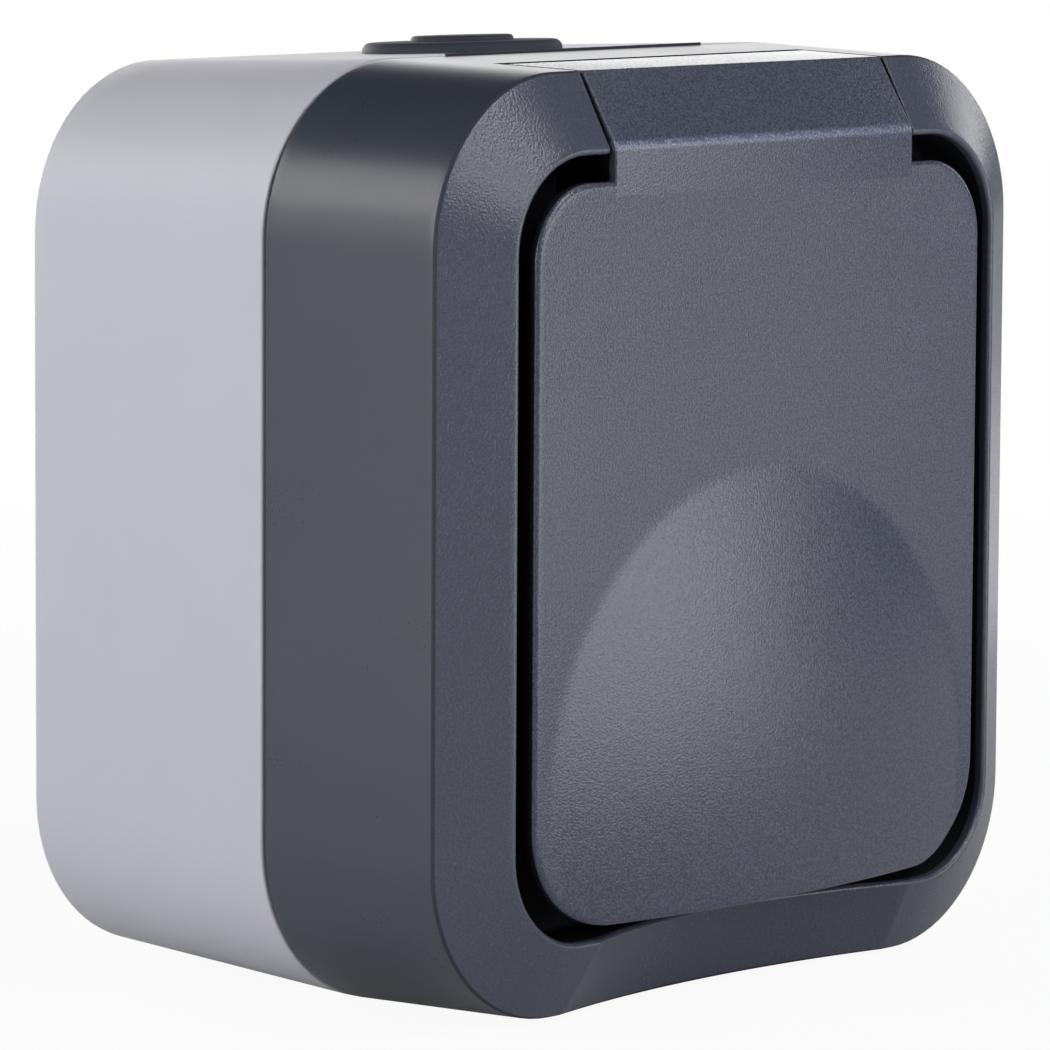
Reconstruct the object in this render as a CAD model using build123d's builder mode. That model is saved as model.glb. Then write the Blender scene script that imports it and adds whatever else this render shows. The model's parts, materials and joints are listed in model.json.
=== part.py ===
"""Surface-mounted weatherproof wall socket with a sprung, top-hinged lid.

The wall face lies in the XZ plane, the front looks along -Y and +Z is up. Depths are measured
from the wall towards the front, in millimetres.
"""
import os

from build123d import *

# Housing outline at the seam between the rear box and the front cover
seam_width = 74.8
seam_height = 78.2
seam_corner = 14.5
seam_gap = 0.35
wall = 2.2

# Rear box, which leans in towards the wall
box_depth = 29.0
box_draft_side = 1.65
box_draft_end = 1.2
box_back_corner = 13.7
gasket_inset = 0.7
gasket_width = 1.0
gasket_groove = 1.2

# Front cover, which leans in towards the crease and then bevels up to the rim
cover_depth = 17.65
cover_draft_side = 1.35
cover_draft_end = 0.45
crease_corner = 14.0
bevel_side = 5.95
bevel_end = 6.3
bevel_rise = 3.6
rim_land = 0.3
opening_corner = 8.0
recess_drop = 6.0
recess_floor = 2.0

# Finger scallop in the bottom bevel
scallop_width_rim = 39.4
scallop_width_edge = 41.4
scallop_sink_rim = 4.2
scallop_sink_edge = 2.4

# Lid
lid_thickness = 2.3
lid_proud = 0.15
lid_gap_side = 1.75
lid_gap_bottom = 1.3
lid_gap_top = 2.2
lid_corner_top = 6.4
lid_corner_bottom = 8.6
lid_edge = 0.8
lid_back_chamfer = 1.0
dome_radius = 26.1
dome_rise = 3.0
dome_drop = 20.9

# Hinge
hinge_width = 37.2
hinge_gap = 0.6
bend_height = 0.65
flange_depth = 8.3
flange_thickness = 2.0
flange_slit = 1.2
pocket_drop = 3.45
pocket_wall = 1.8
pin_radius = 1.0
pin_setback = 2.8
pin_drop = 3.15
pin_bite = 2.5
ear_clearance = 0.03
knuckle_clearance = 0.06
knuckle_radius = 2.3
spring_bay = 15.2
spring_wire = 0.5
spring_clearance = 0.25
spring_pitch = 1.1
spring_turns = 10.5
spring_leg = 5.0
spring_bay_clearance = 0.45

# Socket well
well_bore = 39.2
well_wall = 2.4
well_depth = 17.6
well_floor = 2.4
well_flange = 3.0
well_flange_thickness = 1.8
well_clearance = 0.4
well_seal_thickness = 0.8
well_seal_inset = 0.4
lid_seal_width = 2.4
lid_seal_clearance = 0.3
pin_spacing = 19.0
plug_pin_hole = 5.2
guide_rib_width = 5.0
guide_rib_height = 1.4
guide_rib_length = 11.4

# Contact carrier and what it holds
carrier_width = 42.0
carrier_top = 21.5
carrier_bottom = 15.0
carrier_depth = 18.7
carrier_corner = 4.0
ear_spacing = 55.0
ear_radius = 4.5
ear_thickness = 4.0
ear_lift = 4.5
fit_clearance = 0.2
sleeve_bore = 4.7
sleeve_wall = 0.75
sleeve_length = 16.0
sleeve_slit = 0.8
busbar_thickness = 1.0
busbar_width = 3.0
terminal_spacing = 14.0
terminal_height = 16.0
chamber_size = 8.0
chamber_depth = 10.0
wire_bore = 3.4
wire_lift = 2.0
screw_clearance = 0.05
terminal_screw = 3.5
terminal_head = 5.8
terminal_head_height = 2.0
strap_width = 6.0
strap_thickness = 1.0
strap_reach = 20.3
clip_reach = 17.6
clip_start = 8.0
clip_peak = 14.0
clip_end = 18.0
cover_screw = 3.5
cover_screw_head = 6.4
cover_screw_length = 16.0
head_rise = 1.5
insert_screw = 4.0
insert_screw_head = 7.0
insert_screw_head_height = 2.4
insert_screw_length = 11.0
driver_slot = 0.9
driver_slot_depth = 0.8

# Wall fixing and cable entry
post_radius = 3.5
wall_hole = 5.0
wall_hole_x = 25.0
wall_hole_z = 26.0
wall_seal_width = 2.5
wall_seal_thickness = 1.0
entry_depth = 16.0
membrane_disc = 17.3
membrane_disc_height = 0.9
membrane_step = 8.9
membrane_step_height = 0.55
membrane_neck = 13.4
membrane_flange = 16.0
membrane_flange_height = 1.0
membrane_skin = 1.0
membrane_clearance = 0.05
membrane_edge = 0.4

# Depths worked out from the sizes above
cover_back = box_depth + seam_gap
crease_depth = cover_back + cover_depth
rim_depth = crease_depth + bevel_rise
recess_depth = rim_depth - recess_drop
recess_back = recess_depth - recess_floor
lid_front = rim_depth + lid_proud
lid_back = lid_front - lid_thickness
flange_back = recess_depth + well_seal_thickness
well_front = flange_back + well_flange_thickness
well_face = well_front - well_depth
well_back = well_face - well_floor
carrier_back = well_back - carrier_depth
post_top = carrier_back + ear_lift
ear_front = post_top + ear_thickness
chamber_floor = well_back - chamber_depth
head_seat = well_back - terminal_head_height - fit_clearance
strap_back = head_seat - strap_thickness

# Outlines worked out from the sizes above
crease_width = seam_width - 2 * cover_draft_side
crease_height = seam_height - 2 * cover_draft_end
opening_width = crease_width - 2 * (bevel_side + rim_land)
opening_height = crease_height - 2 * (bevel_end + rim_land)
opening_top = opening_height / 2
lid_half = opening_width / 2 - lid_gap_side
lid_bottom = -opening_height / 2 + lid_gap_bottom
lid_shoulder = opening_top - lid_gap_top
bend_top = opening_top + bend_height
crease_top = crease_height / 2
slot_half = hinge_width / 2 + hinge_gap
pin_depth = crease_depth - pin_setback
pin_height = crease_top - pin_drop
flange_end = crease_depth - flange_depth
slot_back = flange_end - flange_slit
pocket_bottom = opening_top - pocket_drop
well_outer = well_bore / 2 + well_wall
flange_radius = well_outer + well_flange


def box_section(depth, inset=0.0):
    """Width, height and corner radius of the rear box at a depth, drawn in by an inset."""
    share = 1 - depth / box_depth
    width = seam_width - 2 * box_draft_side * share - 2 * inset
    height = seam_height - 2 * box_draft_end * share - 2 * inset
    corner = seam_corner + (box_back_corner - seam_corner) * share - inset
    return width, height, corner


def cover_section(depth, inset=0.0):
    """Width, height and corner radius of the front cover at a depth, drawn in by an inset."""
    share = (depth - cover_back) / cover_depth
    width = seam_width - 2 * cover_draft_side * share - 2 * inset
    height = seam_height - 2 * cover_draft_end * share - 2 * inset
    corner = seam_corner + (crease_corner - seam_corner) * share - inset
    return width, height, corner


def facing(depth):
    """Plane at a depth from the wall that looks to the front, with X to the right and Z up."""
    return Plane.XZ.offset(depth)


def finish(builder, name):
    """Label a finished piece and write it."""
    builder.part.label = name
    export_step(builder.part, f"parts/{name}.step")


os.makedirs("parts", exist_ok=True)

# Rear box: open shell with posts for the insert, wall-fixing holes and the cable entry
entry_height = box_section(entry_depth)[1] / 2
entry_plane = Plane(
    origin=(0, -entry_depth, entry_height),
    x_dir=(1, 0, 0),
    z_dir=(0, box_draft_end, box_depth),
)
wall_hole_spots = [(-wall_hole_x, wall_hole_z), (wall_hole_x, -wall_hole_z)]
ear_spots = [(-ear_spacing / 2, 0), (ear_spacing / 2, 0)]

with BuildPart() as rear_box:
    with BuildSketch(facing(0)):
        RectangleRounded(*box_section(0))
    with BuildSketch(facing(box_depth)):
        RectangleRounded(*box_section(box_depth))
    loft(ruled=True)
    with BuildSketch(facing(wall)):
        RectangleRounded(*box_section(wall, wall))
    with BuildSketch(facing(box_depth)):
        RectangleRounded(*box_section(box_depth, wall))
    loft(ruled=True, mode=Mode.SUBTRACT)
    with BuildSketch(facing(box_depth - gasket_groove)):
        RectangleRounded(*box_section(box_depth, gasket_inset))
        RectangleRounded(*box_section(box_depth, gasket_inset + gasket_width), mode=Mode.SUBTRACT)
    extrude(amount=gasket_groove, mode=Mode.SUBTRACT)
    with BuildSketch(facing(wall)):
        with Locations(*ear_spots):
            Circle(post_radius)
    extrude(amount=post_top - wall)
    with BuildSketch(facing(ear_front - insert_screw_length)):
        with Locations(*ear_spots):
            Circle(insert_screw / 2 + screw_clearance)
    extrude(amount=insert_screw_length, mode=Mode.SUBTRACT)
    with BuildSketch(facing(0)):
        with Locations(*wall_hole_spots):
            Circle(wall_hole / 2)
    extrude(amount=wall, mode=Mode.SUBTRACT)
    with BuildSketch(entry_plane):
        Circle(membrane_neck / 2 + membrane_clearance)
    extrude(amount=-2 * wall, both=True, mode=Mode.SUBTRACT)
finish(rear_box, "rear_box")

with BuildPart() as box_gasket:
    with BuildSketch(facing(box_depth - gasket_groove)):
        RectangleRounded(*box_section(box_depth, gasket_inset))
        RectangleRounded(*box_section(box_depth, gasket_inset + gasket_width), mode=Mode.SUBTRACT)
    extrude(amount=gasket_groove + seam_gap)
finish(box_gasket, "box_gasket")

with BuildPart() as wall_screw_seals:
    with BuildSketch(facing(wall)):
        with Locations(*wall_hole_spots):
            Circle(wall_hole / 2 + wall_seal_width)
        with Locations(*wall_hole_spots):
            Circle(wall_hole / 2, mode=Mode.SUBTRACT)
    extrude(amount=wall_seal_thickness)
finish(wall_screw_seals, "wall_screw_seals")

# Cable membrane: two-step disc outside, neck through the wall, flange inside
with BuildPart() as cable_membrane:
    with BuildSketch(entry_plane):
        Circle(membrane_disc / 2)
    extrude(amount=membrane_disc_height)
    fillet(cable_membrane.edges().group_by(SortBy.LENGTH)[-1].sort_by(Axis.Z)[-1], membrane_edge)
    with BuildSketch(entry_plane.offset(membrane_disc_height)):
        Circle(membrane_step / 2)
    extrude(amount=membrane_step_height)
    with BuildSketch(entry_plane):
        Circle(membrane_neck / 2)
    extrude(amount=-wall - membrane_clearance)
    with BuildSketch(entry_plane.offset(-wall - membrane_clearance)):
        Circle(membrane_flange / 2)
    extrude(amount=-membrane_flange_height)
    with BuildSketch(entry_plane.offset(-wall - membrane_clearance - membrane_flange_height)):
        Circle(membrane_step / 2)
    extrude(
        amount=wall + membrane_clearance + membrane_flange_height
        + membrane_disc_height + membrane_step_height - membrane_skin,
        mode=Mode.SUBTRACT,
    )
finish(cable_membrane, "cable_membrane")

# Hollow of the front cover, which leaves the walls of the hinge pocket standing
with BuildPart() as cover_hollow:
    with BuildSketch(facing(cover_back)):
        RectangleRounded(*cover_section(cover_back, wall))
    with BuildSketch(facing(recess_back)):
        RectangleRounded(*cover_section(recess_back, wall))
    loft(ruled=True)
    with BuildSketch(facing(slot_back - pocket_wall)):
        with Locations((0, (pocket_bottom - pocket_wall + seam_height / 2) / 2)):
            Rectangle(
                2 * (slot_half + pocket_wall),
                seam_height / 2 - pocket_bottom + pocket_wall,
            )
    extrude(amount=recess_back - slot_back + pocket_wall, mode=Mode.SUBTRACT)


def scallop_outline(height):
    """Front of the finger scallop at one height: an arc sunk behind the bevel's own line."""
    bevel_height = crease_top - opening_top - rim_land
    share = (-height - opening_top - rim_land) / bevel_height
    half = (scallop_width_rim + (scallop_width_edge - scallop_width_rim) * share) / 2
    edge = -rim_depth + bevel_rise * share
    sink = scallop_sink_rim + (scallop_sink_edge - scallop_sink_rim) * share
    front = -rim_depth - bevel_rise
    with BuildSketch(Plane.XY.offset(height)) as outline:
        with BuildLine():
            ThreePointArc((-half, edge), (0, edge + sink), (half, edge))
            Polyline((half, edge), (half, front), (-half, front), (-half, edge))
        make_face()
    return outline.sketch


with BuildPart() as scallop:
    loft(
        [
            scallop_outline(-opening_top + bevel_rise / 2),
            scallop_outline(-crease_top - bevel_rise / 2),
        ],
        ruled=True,
    )

# Front cover: tapered band, bevelled frame, lid recess, hinge pocket and finger scallop
with BuildPart() as front_cover:
    with BuildSketch(facing(cover_back)):
        RectangleRounded(*cover_section(cover_back))
    with BuildSketch(facing(crease_depth)):
        RectangleRounded(*cover_section(crease_depth))
    loft(ruled=True)
    with BuildSketch(facing(crease_depth)):
        RectangleRounded(*cover_section(crease_depth))
    with BuildSketch(facing(rim_depth)):
        RectangleRounded(
            opening_width + 2 * rim_land,
            opening_height + 2 * rim_land,
            opening_corner + rim_land,
        )
    loft(ruled=True)
    add(cover_hollow.part, mode=Mode.SUBTRACT)
    with BuildSketch(facing(recess_depth)):
        RectangleRounded(opening_width, opening_height, opening_corner)
    extrude(amount=2 * recess_drop, mode=Mode.SUBTRACT)
    with BuildSketch(facing(recess_back)):
        Circle(well_outer + well_clearance)
    extrude(amount=recess_floor, mode=Mode.SUBTRACT)
    with BuildSketch(facing(slot_back)):
        with Locations((0, (pocket_bottom + seam_height) / 2)):
            Rectangle(2 * slot_half, seam_height - pocket_bottom)
    extrude(amount=2 * (rim_depth - slot_back), mode=Mode.SUBTRACT)
    with BuildSketch(Plane.YZ):
        with Locations((-pin_depth, pin_height)):
            Circle(pin_radius + ear_clearance)
    extrude(amount=slot_half + pin_bite, both=True, mode=Mode.SUBTRACT)
    add(scallop.part, mode=Mode.SUBTRACT)
finish(front_cover, "front_cover")


# Front outline of the lid, with larger lower corners and smaller shoulder corners
with BuildSketch(facing(lid_back)) as lid_outline:
    with Locations((0, (lid_bottom + lid_shoulder) / 2)):
        Rectangle(2 * lid_half, lid_shoulder - lid_bottom)
    fillet(lid_outline.vertices().group_by(Axis.Y)[0], lid_corner_bottom)
    fillet(lid_outline.vertices().group_by(Axis.Y)[-1], lid_corner_top)

# Dome on the lid: a spherical cap trimmed by the lid's own outline
dome_sphere = (dome_radius**2 + dome_rise**2) / (2 * dome_rise)
with BuildPart() as dome:
    extrude(lid_outline.sketch, amount=lid_thickness + 2 * dome_rise, dir=(0, -1, 0))
    with BuildSketch(Plane.YZ):
        with Locations((-lid_front - dome_rise + dome_sphere, -dome_drop)):
            Circle(dome_sphere)
            Rectangle(2 * dome_sphere, dome_sphere, align=(Align.CENTER, Align.MAX), mode=Mode.SUBTRACT)
    revolve(
        axis=Axis((0, 0, -dome_drop), (0, 1, 0)),
        mode=Mode.INTERSECT,
    )
    split(bisect_by=facing(lid_front), keep=Keep.TOP)

# Lid: plate, bevelled neck, top flange and the two knuckles that turn on the pin
flange_top = cover_section(flange_end)[1] / 2
with BuildPart() as lid:
    extrude(lid_outline.sketch, amount=lid_thickness, dir=(0, -1, 0))
    fillet(lid.faces().sort_by(Axis.Y)[0].edges(), lid_edge)
    chamfer(lid.faces().sort_by(Axis.Y)[-1].edges(), lid_back_chamfer)
    with BuildSketch(Plane.YZ):
        with BuildLine():
            Polyline(
                (-lid_front, lid_shoulder - lid_corner_top),
                (-lid_front, bend_top),
                (-crease_depth, crease_top),
                (-flange_end, flange_top),
                (-flange_end, flange_top - flange_thickness),
                (-crease_depth + flange_thickness / 2, crease_top - flange_thickness),
                (-lid_back, bend_top - flange_thickness / 4),
                (-lid_back, lid_shoulder - lid_corner_top),
                close=True,
            )
        make_face()
    extrude(amount=hinge_width / 2, both=True)
    with BuildSketch(Plane.YZ):
        with Locations((-pin_depth, pin_height)):
            Circle(knuckle_radius)
    extrude(amount=hinge_width / 2, both=True)
    with BuildSketch(Plane.YZ):
        with Locations((-pin_depth, pin_height)):
            Circle(pin_radius + spring_clearance + spring_wire + spring_bay_clearance)
            with Locations((0, -knuckle_radius)):
                Rectangle(2 * knuckle_radius, 2 * knuckle_radius)
    extrude(amount=spring_bay / 2, both=True, mode=Mode.SUBTRACT)
    with BuildSketch(Plane.YZ):
        with Locations((-pin_depth, pin_height)):
            Circle(pin_radius + knuckle_clearance)
    extrude(amount=hinge_width / 2, both=True, mode=Mode.SUBTRACT)
    add(dome.part)
finish(lid, "lid")

seal_radius = well_outer + well_flange / 2
with BuildPart() as lid_seal:
    with BuildSketch(facing(well_front + lid_seal_clearance)):
        Circle(seal_radius + lid_seal_width / 2)
        Circle(seal_radius - lid_seal_width / 2, mode=Mode.SUBTRACT)
    extrude(amount=lid_back - well_front - lid_seal_clearance)
finish(lid_seal, "lid_seal")

with BuildPart() as hinge_pin:
    with BuildSketch(Plane.YZ):
        with Locations((-pin_depth, pin_height)):
            Circle(pin_radius)
    extrude(amount=slot_half + pin_bite, both=True)
    chamfer(hinge_pin.edges().filter_by(GeomType.CIRCLE), pin_radius / 4)
finish(hinge_pin, "hinge_pin")

# Torsion spring round the pin, with one leg down the back of the pocket and one behind the lid
coil_radius = pin_radius + spring_clearance + spring_wire / 2
coil_length = spring_pitch * spring_turns
coil_spot = Location((-coil_length / 2, -pin_depth, pin_height), (-90, 0, 0))
coil = coil_spot * Helix(spring_pitch, coil_length, coil_radius, direction=(1, 0, 0))
with BuildPart() as lid_spring:
    with BuildSketch(Plane(origin=coil @ 0, z_dir=coil % 0)):
        Circle(spring_wire / 2)
    sweep(path=coil, is_frenet=True)
    for turn_end, heading in ((coil @ 0, -(coil % 0)), (coil @ 1, coil % 1)):
        with BuildSketch(Plane(origin=turn_end, z_dir=heading)):
            Circle(spring_wire / 2)
        extrude(amount=spring_leg)
finish(lid_spring, "lid_spring")

# Socket well: flanged cup with plug pin holes, guide ribs and slots for the earth clips
slot_width = strap_width + 4 * fit_clearance
with BuildPart() as socket_well:
    with BuildSketch(facing(well_back)):
        Circle(well_outer)
    extrude(amount=flange_back - well_back)
    with BuildSketch(facing(flange_back)):
        Circle(flange_radius)
    extrude(amount=well_flange_thickness)
    with BuildSketch(facing(well_face)):
        Circle(well_bore / 2)
    extrude(amount=well_depth, mode=Mode.SUBTRACT)
    with BuildSketch(facing(well_face)):
        with Locations((-well_bore / 2, 0), (well_bore / 2, 0)):
            Rectangle(2 * guide_rib_height, guide_rib_width)
    extrude(amount=guide_rib_length)
    with BuildSketch(facing(well_back)):
        with Locations((-pin_spacing / 2, 0), (pin_spacing / 2, 0)):
            Circle(plug_pin_hole / 2)
    extrude(amount=well_floor, mode=Mode.SUBTRACT)
    with BuildSketch(facing(well_back)):
        with Locations((0, strap_reach), (0, -strap_reach)):
            Rectangle(slot_width, 2 * (well_outer - strap_reach) + strap_thickness)
    extrude(amount=clip_end + well_floor, mode=Mode.SUBTRACT)
    with BuildSketch(facing(well_back)):
        Circle(cover_screw / 2 + screw_clearance)
    extrude(amount=well_floor, mode=Mode.SUBTRACT)
    with BuildSketch(facing(well_face - head_rise)):
        Circle(cover_screw / 2 + screw_clearance)
    with BuildSketch(facing(well_face)):
        Circle(cover_screw_head / 2 + screw_clearance)
    loft(ruled=True, mode=Mode.SUBTRACT)
finish(socket_well, "socket_well")

with BuildPart() as well_seal:
    with BuildSketch(facing(recess_depth)):
        Circle(flange_radius - well_seal_inset)
        Circle(well_outer + well_clearance, mode=Mode.SUBTRACT)
    extrude(amount=well_seal_thickness)
finish(well_seal, "well_seal")

with BuildPart() as cover_screw_part:
    with BuildSketch(facing(well_face - cover_screw_length)):
        Circle(cover_screw / 2)
    extrude(amount=cover_screw_length - head_rise)
    with BuildSketch(facing(well_face - head_rise)):
        Circle(cover_screw / 2)
    with BuildSketch(facing(well_face)):
        Circle(cover_screw_head / 2)
    loft(ruled=True)
    with BuildSketch(facing(well_face - driver_slot_depth)):
        Rectangle(cover_screw_head, driver_slot)
    extrude(amount=driver_slot_depth, mode=Mode.SUBTRACT)
finish(cover_screw_part, "cover_screw")

# Contact carrier: block with sleeve holes, terminal chambers, strap slot and two fixing ears
sleeve_outer = sleeve_bore / 2 + sleeve_wall
sleeve_front = well_back - sleeve_wall
sleeve_back = sleeve_front - sleeve_length
carrier_mid = (carrier_top - carrier_bottom) / 2
chamber_low = terminal_height - chamber_size / 2
channel_inner = pin_spacing / 2 + sleeve_wall
channel_mid = channel_inner + busbar_width / 2
channel_width = busbar_width + 2 * fit_clearance
terminal_spots = [(-terminal_spacing, terminal_height), (0, terminal_height), (terminal_spacing, terminal_height)]

with BuildPart() as contact_carrier:
    with BuildSketch(facing(carrier_back)):
        with Locations((0, carrier_mid)):
            RectangleRounded(carrier_width, carrier_top + carrier_bottom, carrier_corner)
    extrude(amount=carrier_depth)
    with BuildSketch(facing(post_top)):
        Rectangle(ear_spacing, 2 * ear_radius)
        with Locations(*ear_spots):
            Circle(ear_radius)
    extrude(amount=ear_thickness)
    with BuildSketch(facing(post_top)):
        with Locations(*ear_spots):
            Circle(insert_screw / 2 + screw_clearance)
    extrude(amount=ear_thickness, mode=Mode.SUBTRACT)
    with BuildSketch(facing(sleeve_back)):
        with Locations((-pin_spacing / 2, 0), (pin_spacing / 2, 0)):
            Circle(sleeve_outer + fit_clearance)
    extrude(amount=well_back - sleeve_back, mode=Mode.SUBTRACT)
    with BuildSketch(facing(chamber_floor)):
        with Locations(*terminal_spots):
            Rectangle(chamber_size, chamber_size)
        with Locations((-channel_mid, chamber_low / 2), (channel_mid, chamber_low / 2)):
            Rectangle(channel_width, chamber_low)
    extrude(amount=chamber_depth, mode=Mode.SUBTRACT)
    with BuildSketch(facing(strap_back)):
        Rectangle(slot_width, 4 * strap_reach)
    extrude(amount=well_back - strap_back, mode=Mode.SUBTRACT)
    with BuildSketch(facing(well_face - cover_screw_length)):
        Circle(cover_screw / 2 + screw_clearance)
    extrude(amount=cover_screw_length, mode=Mode.SUBTRACT)
    with BuildSketch(Plane.XY.offset(terminal_height)):
        with Locations(*[(x, -chamber_floor - busbar_thickness - wire_lift) for x, z in terminal_spots]):
            Circle(wire_bore / 2 + fit_clearance)
    extrude(amount=carrier_top, mode=Mode.SUBTRACT)
finish(contact_carrier, "contact_carrier")

# Line and neutral contacts: slit sleeve, busbar and the pad under the terminal block
pad_size = chamber_size - 2 * fit_clearance
busbar_length = chamber_low + 2 * fit_clearance
for side, name in ((-1, "line_contact"), (1, "neutral_contact")):
    with BuildPart() as contact:
        with BuildSketch(facing(sleeve_back)):
            with Locations((side * pin_spacing / 2, 0)):
                Circle(sleeve_outer)
        extrude(amount=sleeve_length)
        with BuildSketch(facing(chamber_floor)):
            with Locations((side * channel_mid, busbar_length / 2)):
                Rectangle(busbar_width, busbar_length)
            with Locations((side * terminal_spacing, terminal_height)):
                Rectangle(pad_size, pad_size)
        extrude(amount=busbar_thickness)
        with BuildSketch(facing(sleeve_back)):
            with Locations((side * pin_spacing / 2, 0)):
                Circle(sleeve_bore / 2)
        extrude(amount=sleeve_length, mode=Mode.SUBTRACT)
        with BuildSketch(facing(sleeve_back + sleeve_length / 2)):
            with Locations((side * pin_spacing / 2, -sleeve_outer)):
                Rectangle(sleeve_slit, 2 * sleeve_outer)
        extrude(amount=sleeve_length / 2, mode=Mode.SUBTRACT)
    finish(contact, name)

# Terminal blocks with a wire bore and a screw bore
for x, seat, front, name in (
    (-terminal_spacing, chamber_floor + busbar_thickness, head_seat, "line_clamp"),
    (0, chamber_floor, strap_back, "earth_clamp"),
    (terminal_spacing, chamber_floor + busbar_thickness, head_seat, "neutral_clamp"),
):
    with BuildPart() as clamp:
        with BuildSketch(facing(seat)):
            with Locations((x, terminal_height)):
                Rectangle(pad_size, pad_size)
        extrude(amount=front - seat)
        with BuildSketch(facing(seat)):
            with Locations((x, terminal_height)):
                Circle(terminal_screw / 2 + screw_clearance)
        extrude(amount=front - seat, mode=Mode.SUBTRACT)
        with BuildSketch(Plane.XY.offset(terminal_height)):
            with Locations((x, -chamber_floor - busbar_thickness - wire_lift)):
                Circle(wire_bore / 2)
        extrude(amount=chamber_size, mode=Mode.SUBTRACT)
    finish(clamp, name)

terminal_screw_tip = chamber_floor + busbar_thickness + wire_lift
with BuildPart() as terminal_screws:
    with BuildSketch(facing(terminal_screw_tip)):
        with Locations(*terminal_spots):
            Circle(terminal_screw / 2)
    extrude(amount=head_seat - terminal_screw_tip)
    with BuildSketch(facing(head_seat)):
        with Locations(*terminal_spots):
            Circle(terminal_head / 2)
    extrude(amount=terminal_head_height)
    with BuildSketch(facing(head_seat + terminal_head_height - driver_slot_depth)):
        with Locations(*terminal_spots):
            Rectangle(terminal_head, driver_slot)
    extrude(amount=driver_slot_depth, mode=Mode.SUBTRACT)
finish(terminal_screws, "terminal_screws")

# Earth strap: a bridge behind the well with a sprung clip at the top and the bottom
bridge = -strap_back - strap_thickness / 2
with BuildPart() as earth_strap:
    with BuildSketch(Plane.YZ):
        with BuildLine():
            Polyline(
                (-well_face - clip_end, -strap_reach),
                (-well_face - clip_peak, -clip_reach),
                (-well_face - clip_start, -strap_reach),
                (bridge, -strap_reach),
                (bridge, strap_reach),
                (-well_face - clip_start, strap_reach),
                (-well_face - clip_peak, clip_reach),
                (-well_face - clip_end, strap_reach),
            )
        trace(line_width=strap_thickness)
    extrude(amount=strap_width / 2, both=True)
    with BuildSketch(facing(strap_back)):
        Circle(cover_screw / 2 + screw_clearance)
        with Locations((0, terminal_height)):
            Circle(terminal_screw / 2 + screw_clearance)
    extrude(amount=strap_thickness, mode=Mode.SUBTRACT)
finish(earth_strap, "earth_strap")

with BuildPart() as insert_screws:
    with BuildSketch(facing(ear_front - insert_screw_length)):
        with Locations(*ear_spots):
            Circle(insert_screw / 2)
    extrude(amount=insert_screw_length)
    with BuildSketch(facing(ear_front)):
        with Locations(*ear_spots):
            Circle(insert_screw_head / 2)
    extrude(amount=insert_screw_head_height)
    with BuildSketch(facing(ear_front + insert_screw_head_height - driver_slot_depth)):
        with Locations(*ear_spots):
            Rectangle(insert_screw_head, driver_slot)
    extrude(amount=driver_slot_depth, mode=Mode.SUBTRACT)
finish(insert_screws, "insert_screws")
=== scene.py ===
"""Looks of a weatherproof surface socket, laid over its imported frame.

The frame gives the sizes, the hinge and the inner pieces. Each shell that shows is a surface worked out with
numpy in the frame's own axes: the wall face is y = 0, the front looks along -y and z is up. A depth is a
distance from the wall towards the front. All lengths are metres.
"""
import json
import math

import bmesh
import bpy
import numpy as np
from bpy.props import FloatProperty, FloatVectorProperty, PointerProperty
from mathutils import Matrix, Vector


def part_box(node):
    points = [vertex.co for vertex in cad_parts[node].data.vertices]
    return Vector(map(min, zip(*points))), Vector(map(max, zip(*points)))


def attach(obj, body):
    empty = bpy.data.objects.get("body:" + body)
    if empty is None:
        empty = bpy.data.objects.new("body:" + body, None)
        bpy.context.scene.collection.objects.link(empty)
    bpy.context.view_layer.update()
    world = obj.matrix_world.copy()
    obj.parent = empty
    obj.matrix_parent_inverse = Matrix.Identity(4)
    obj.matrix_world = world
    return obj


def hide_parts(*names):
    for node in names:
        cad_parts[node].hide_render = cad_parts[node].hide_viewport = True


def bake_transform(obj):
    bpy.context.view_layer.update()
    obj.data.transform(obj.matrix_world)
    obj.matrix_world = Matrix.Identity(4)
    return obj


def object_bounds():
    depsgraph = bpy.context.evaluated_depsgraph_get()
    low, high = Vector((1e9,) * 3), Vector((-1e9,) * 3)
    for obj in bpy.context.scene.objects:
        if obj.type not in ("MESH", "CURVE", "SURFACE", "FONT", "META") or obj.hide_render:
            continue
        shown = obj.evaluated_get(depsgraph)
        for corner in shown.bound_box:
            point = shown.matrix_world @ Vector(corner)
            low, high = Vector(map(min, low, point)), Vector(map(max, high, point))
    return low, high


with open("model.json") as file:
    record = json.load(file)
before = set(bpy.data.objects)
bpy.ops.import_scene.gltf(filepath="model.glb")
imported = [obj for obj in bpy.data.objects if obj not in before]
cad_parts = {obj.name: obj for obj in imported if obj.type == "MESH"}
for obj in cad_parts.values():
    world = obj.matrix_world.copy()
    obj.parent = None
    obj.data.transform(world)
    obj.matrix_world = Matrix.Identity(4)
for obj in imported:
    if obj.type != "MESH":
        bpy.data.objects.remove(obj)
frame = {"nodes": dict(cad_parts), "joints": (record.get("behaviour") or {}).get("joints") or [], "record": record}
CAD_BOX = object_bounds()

bl_info = {
    "name": "Weatherproof socket looks",
    "version": (1, 0, 0),
    "blender": (4, 5, 0),
    "location": "View3D > Sidebar > Socket",
    "description": "Builds the shells, finishes and stage of a weatherproof surface socket",
    "category": "Object",
}

MM = 0.001
HOUSING = "housing"
LID = "lid"

# Height of the lid's bend above the middle, in millimetres
BEND = 32.7

# Points closer than the weld reach become one, and edges that turn by more than the sharp angle stay hard
WELD_REACH = 1e-6
SHARP = math.radians(32)

# Columns of a ring: side, corner, outer part of an end and the end's middle
COVER_COLUMNS = (48, 20, 16, 60)
BOX_COLUMNS = (40, 20, 12, 40)
LID_COLUMNS = (104, 26, 12, 104)
# Shares of half the width at which the middle of an end begins
BOX_MARK = 0.2
LID_MARK = 0.4
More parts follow.
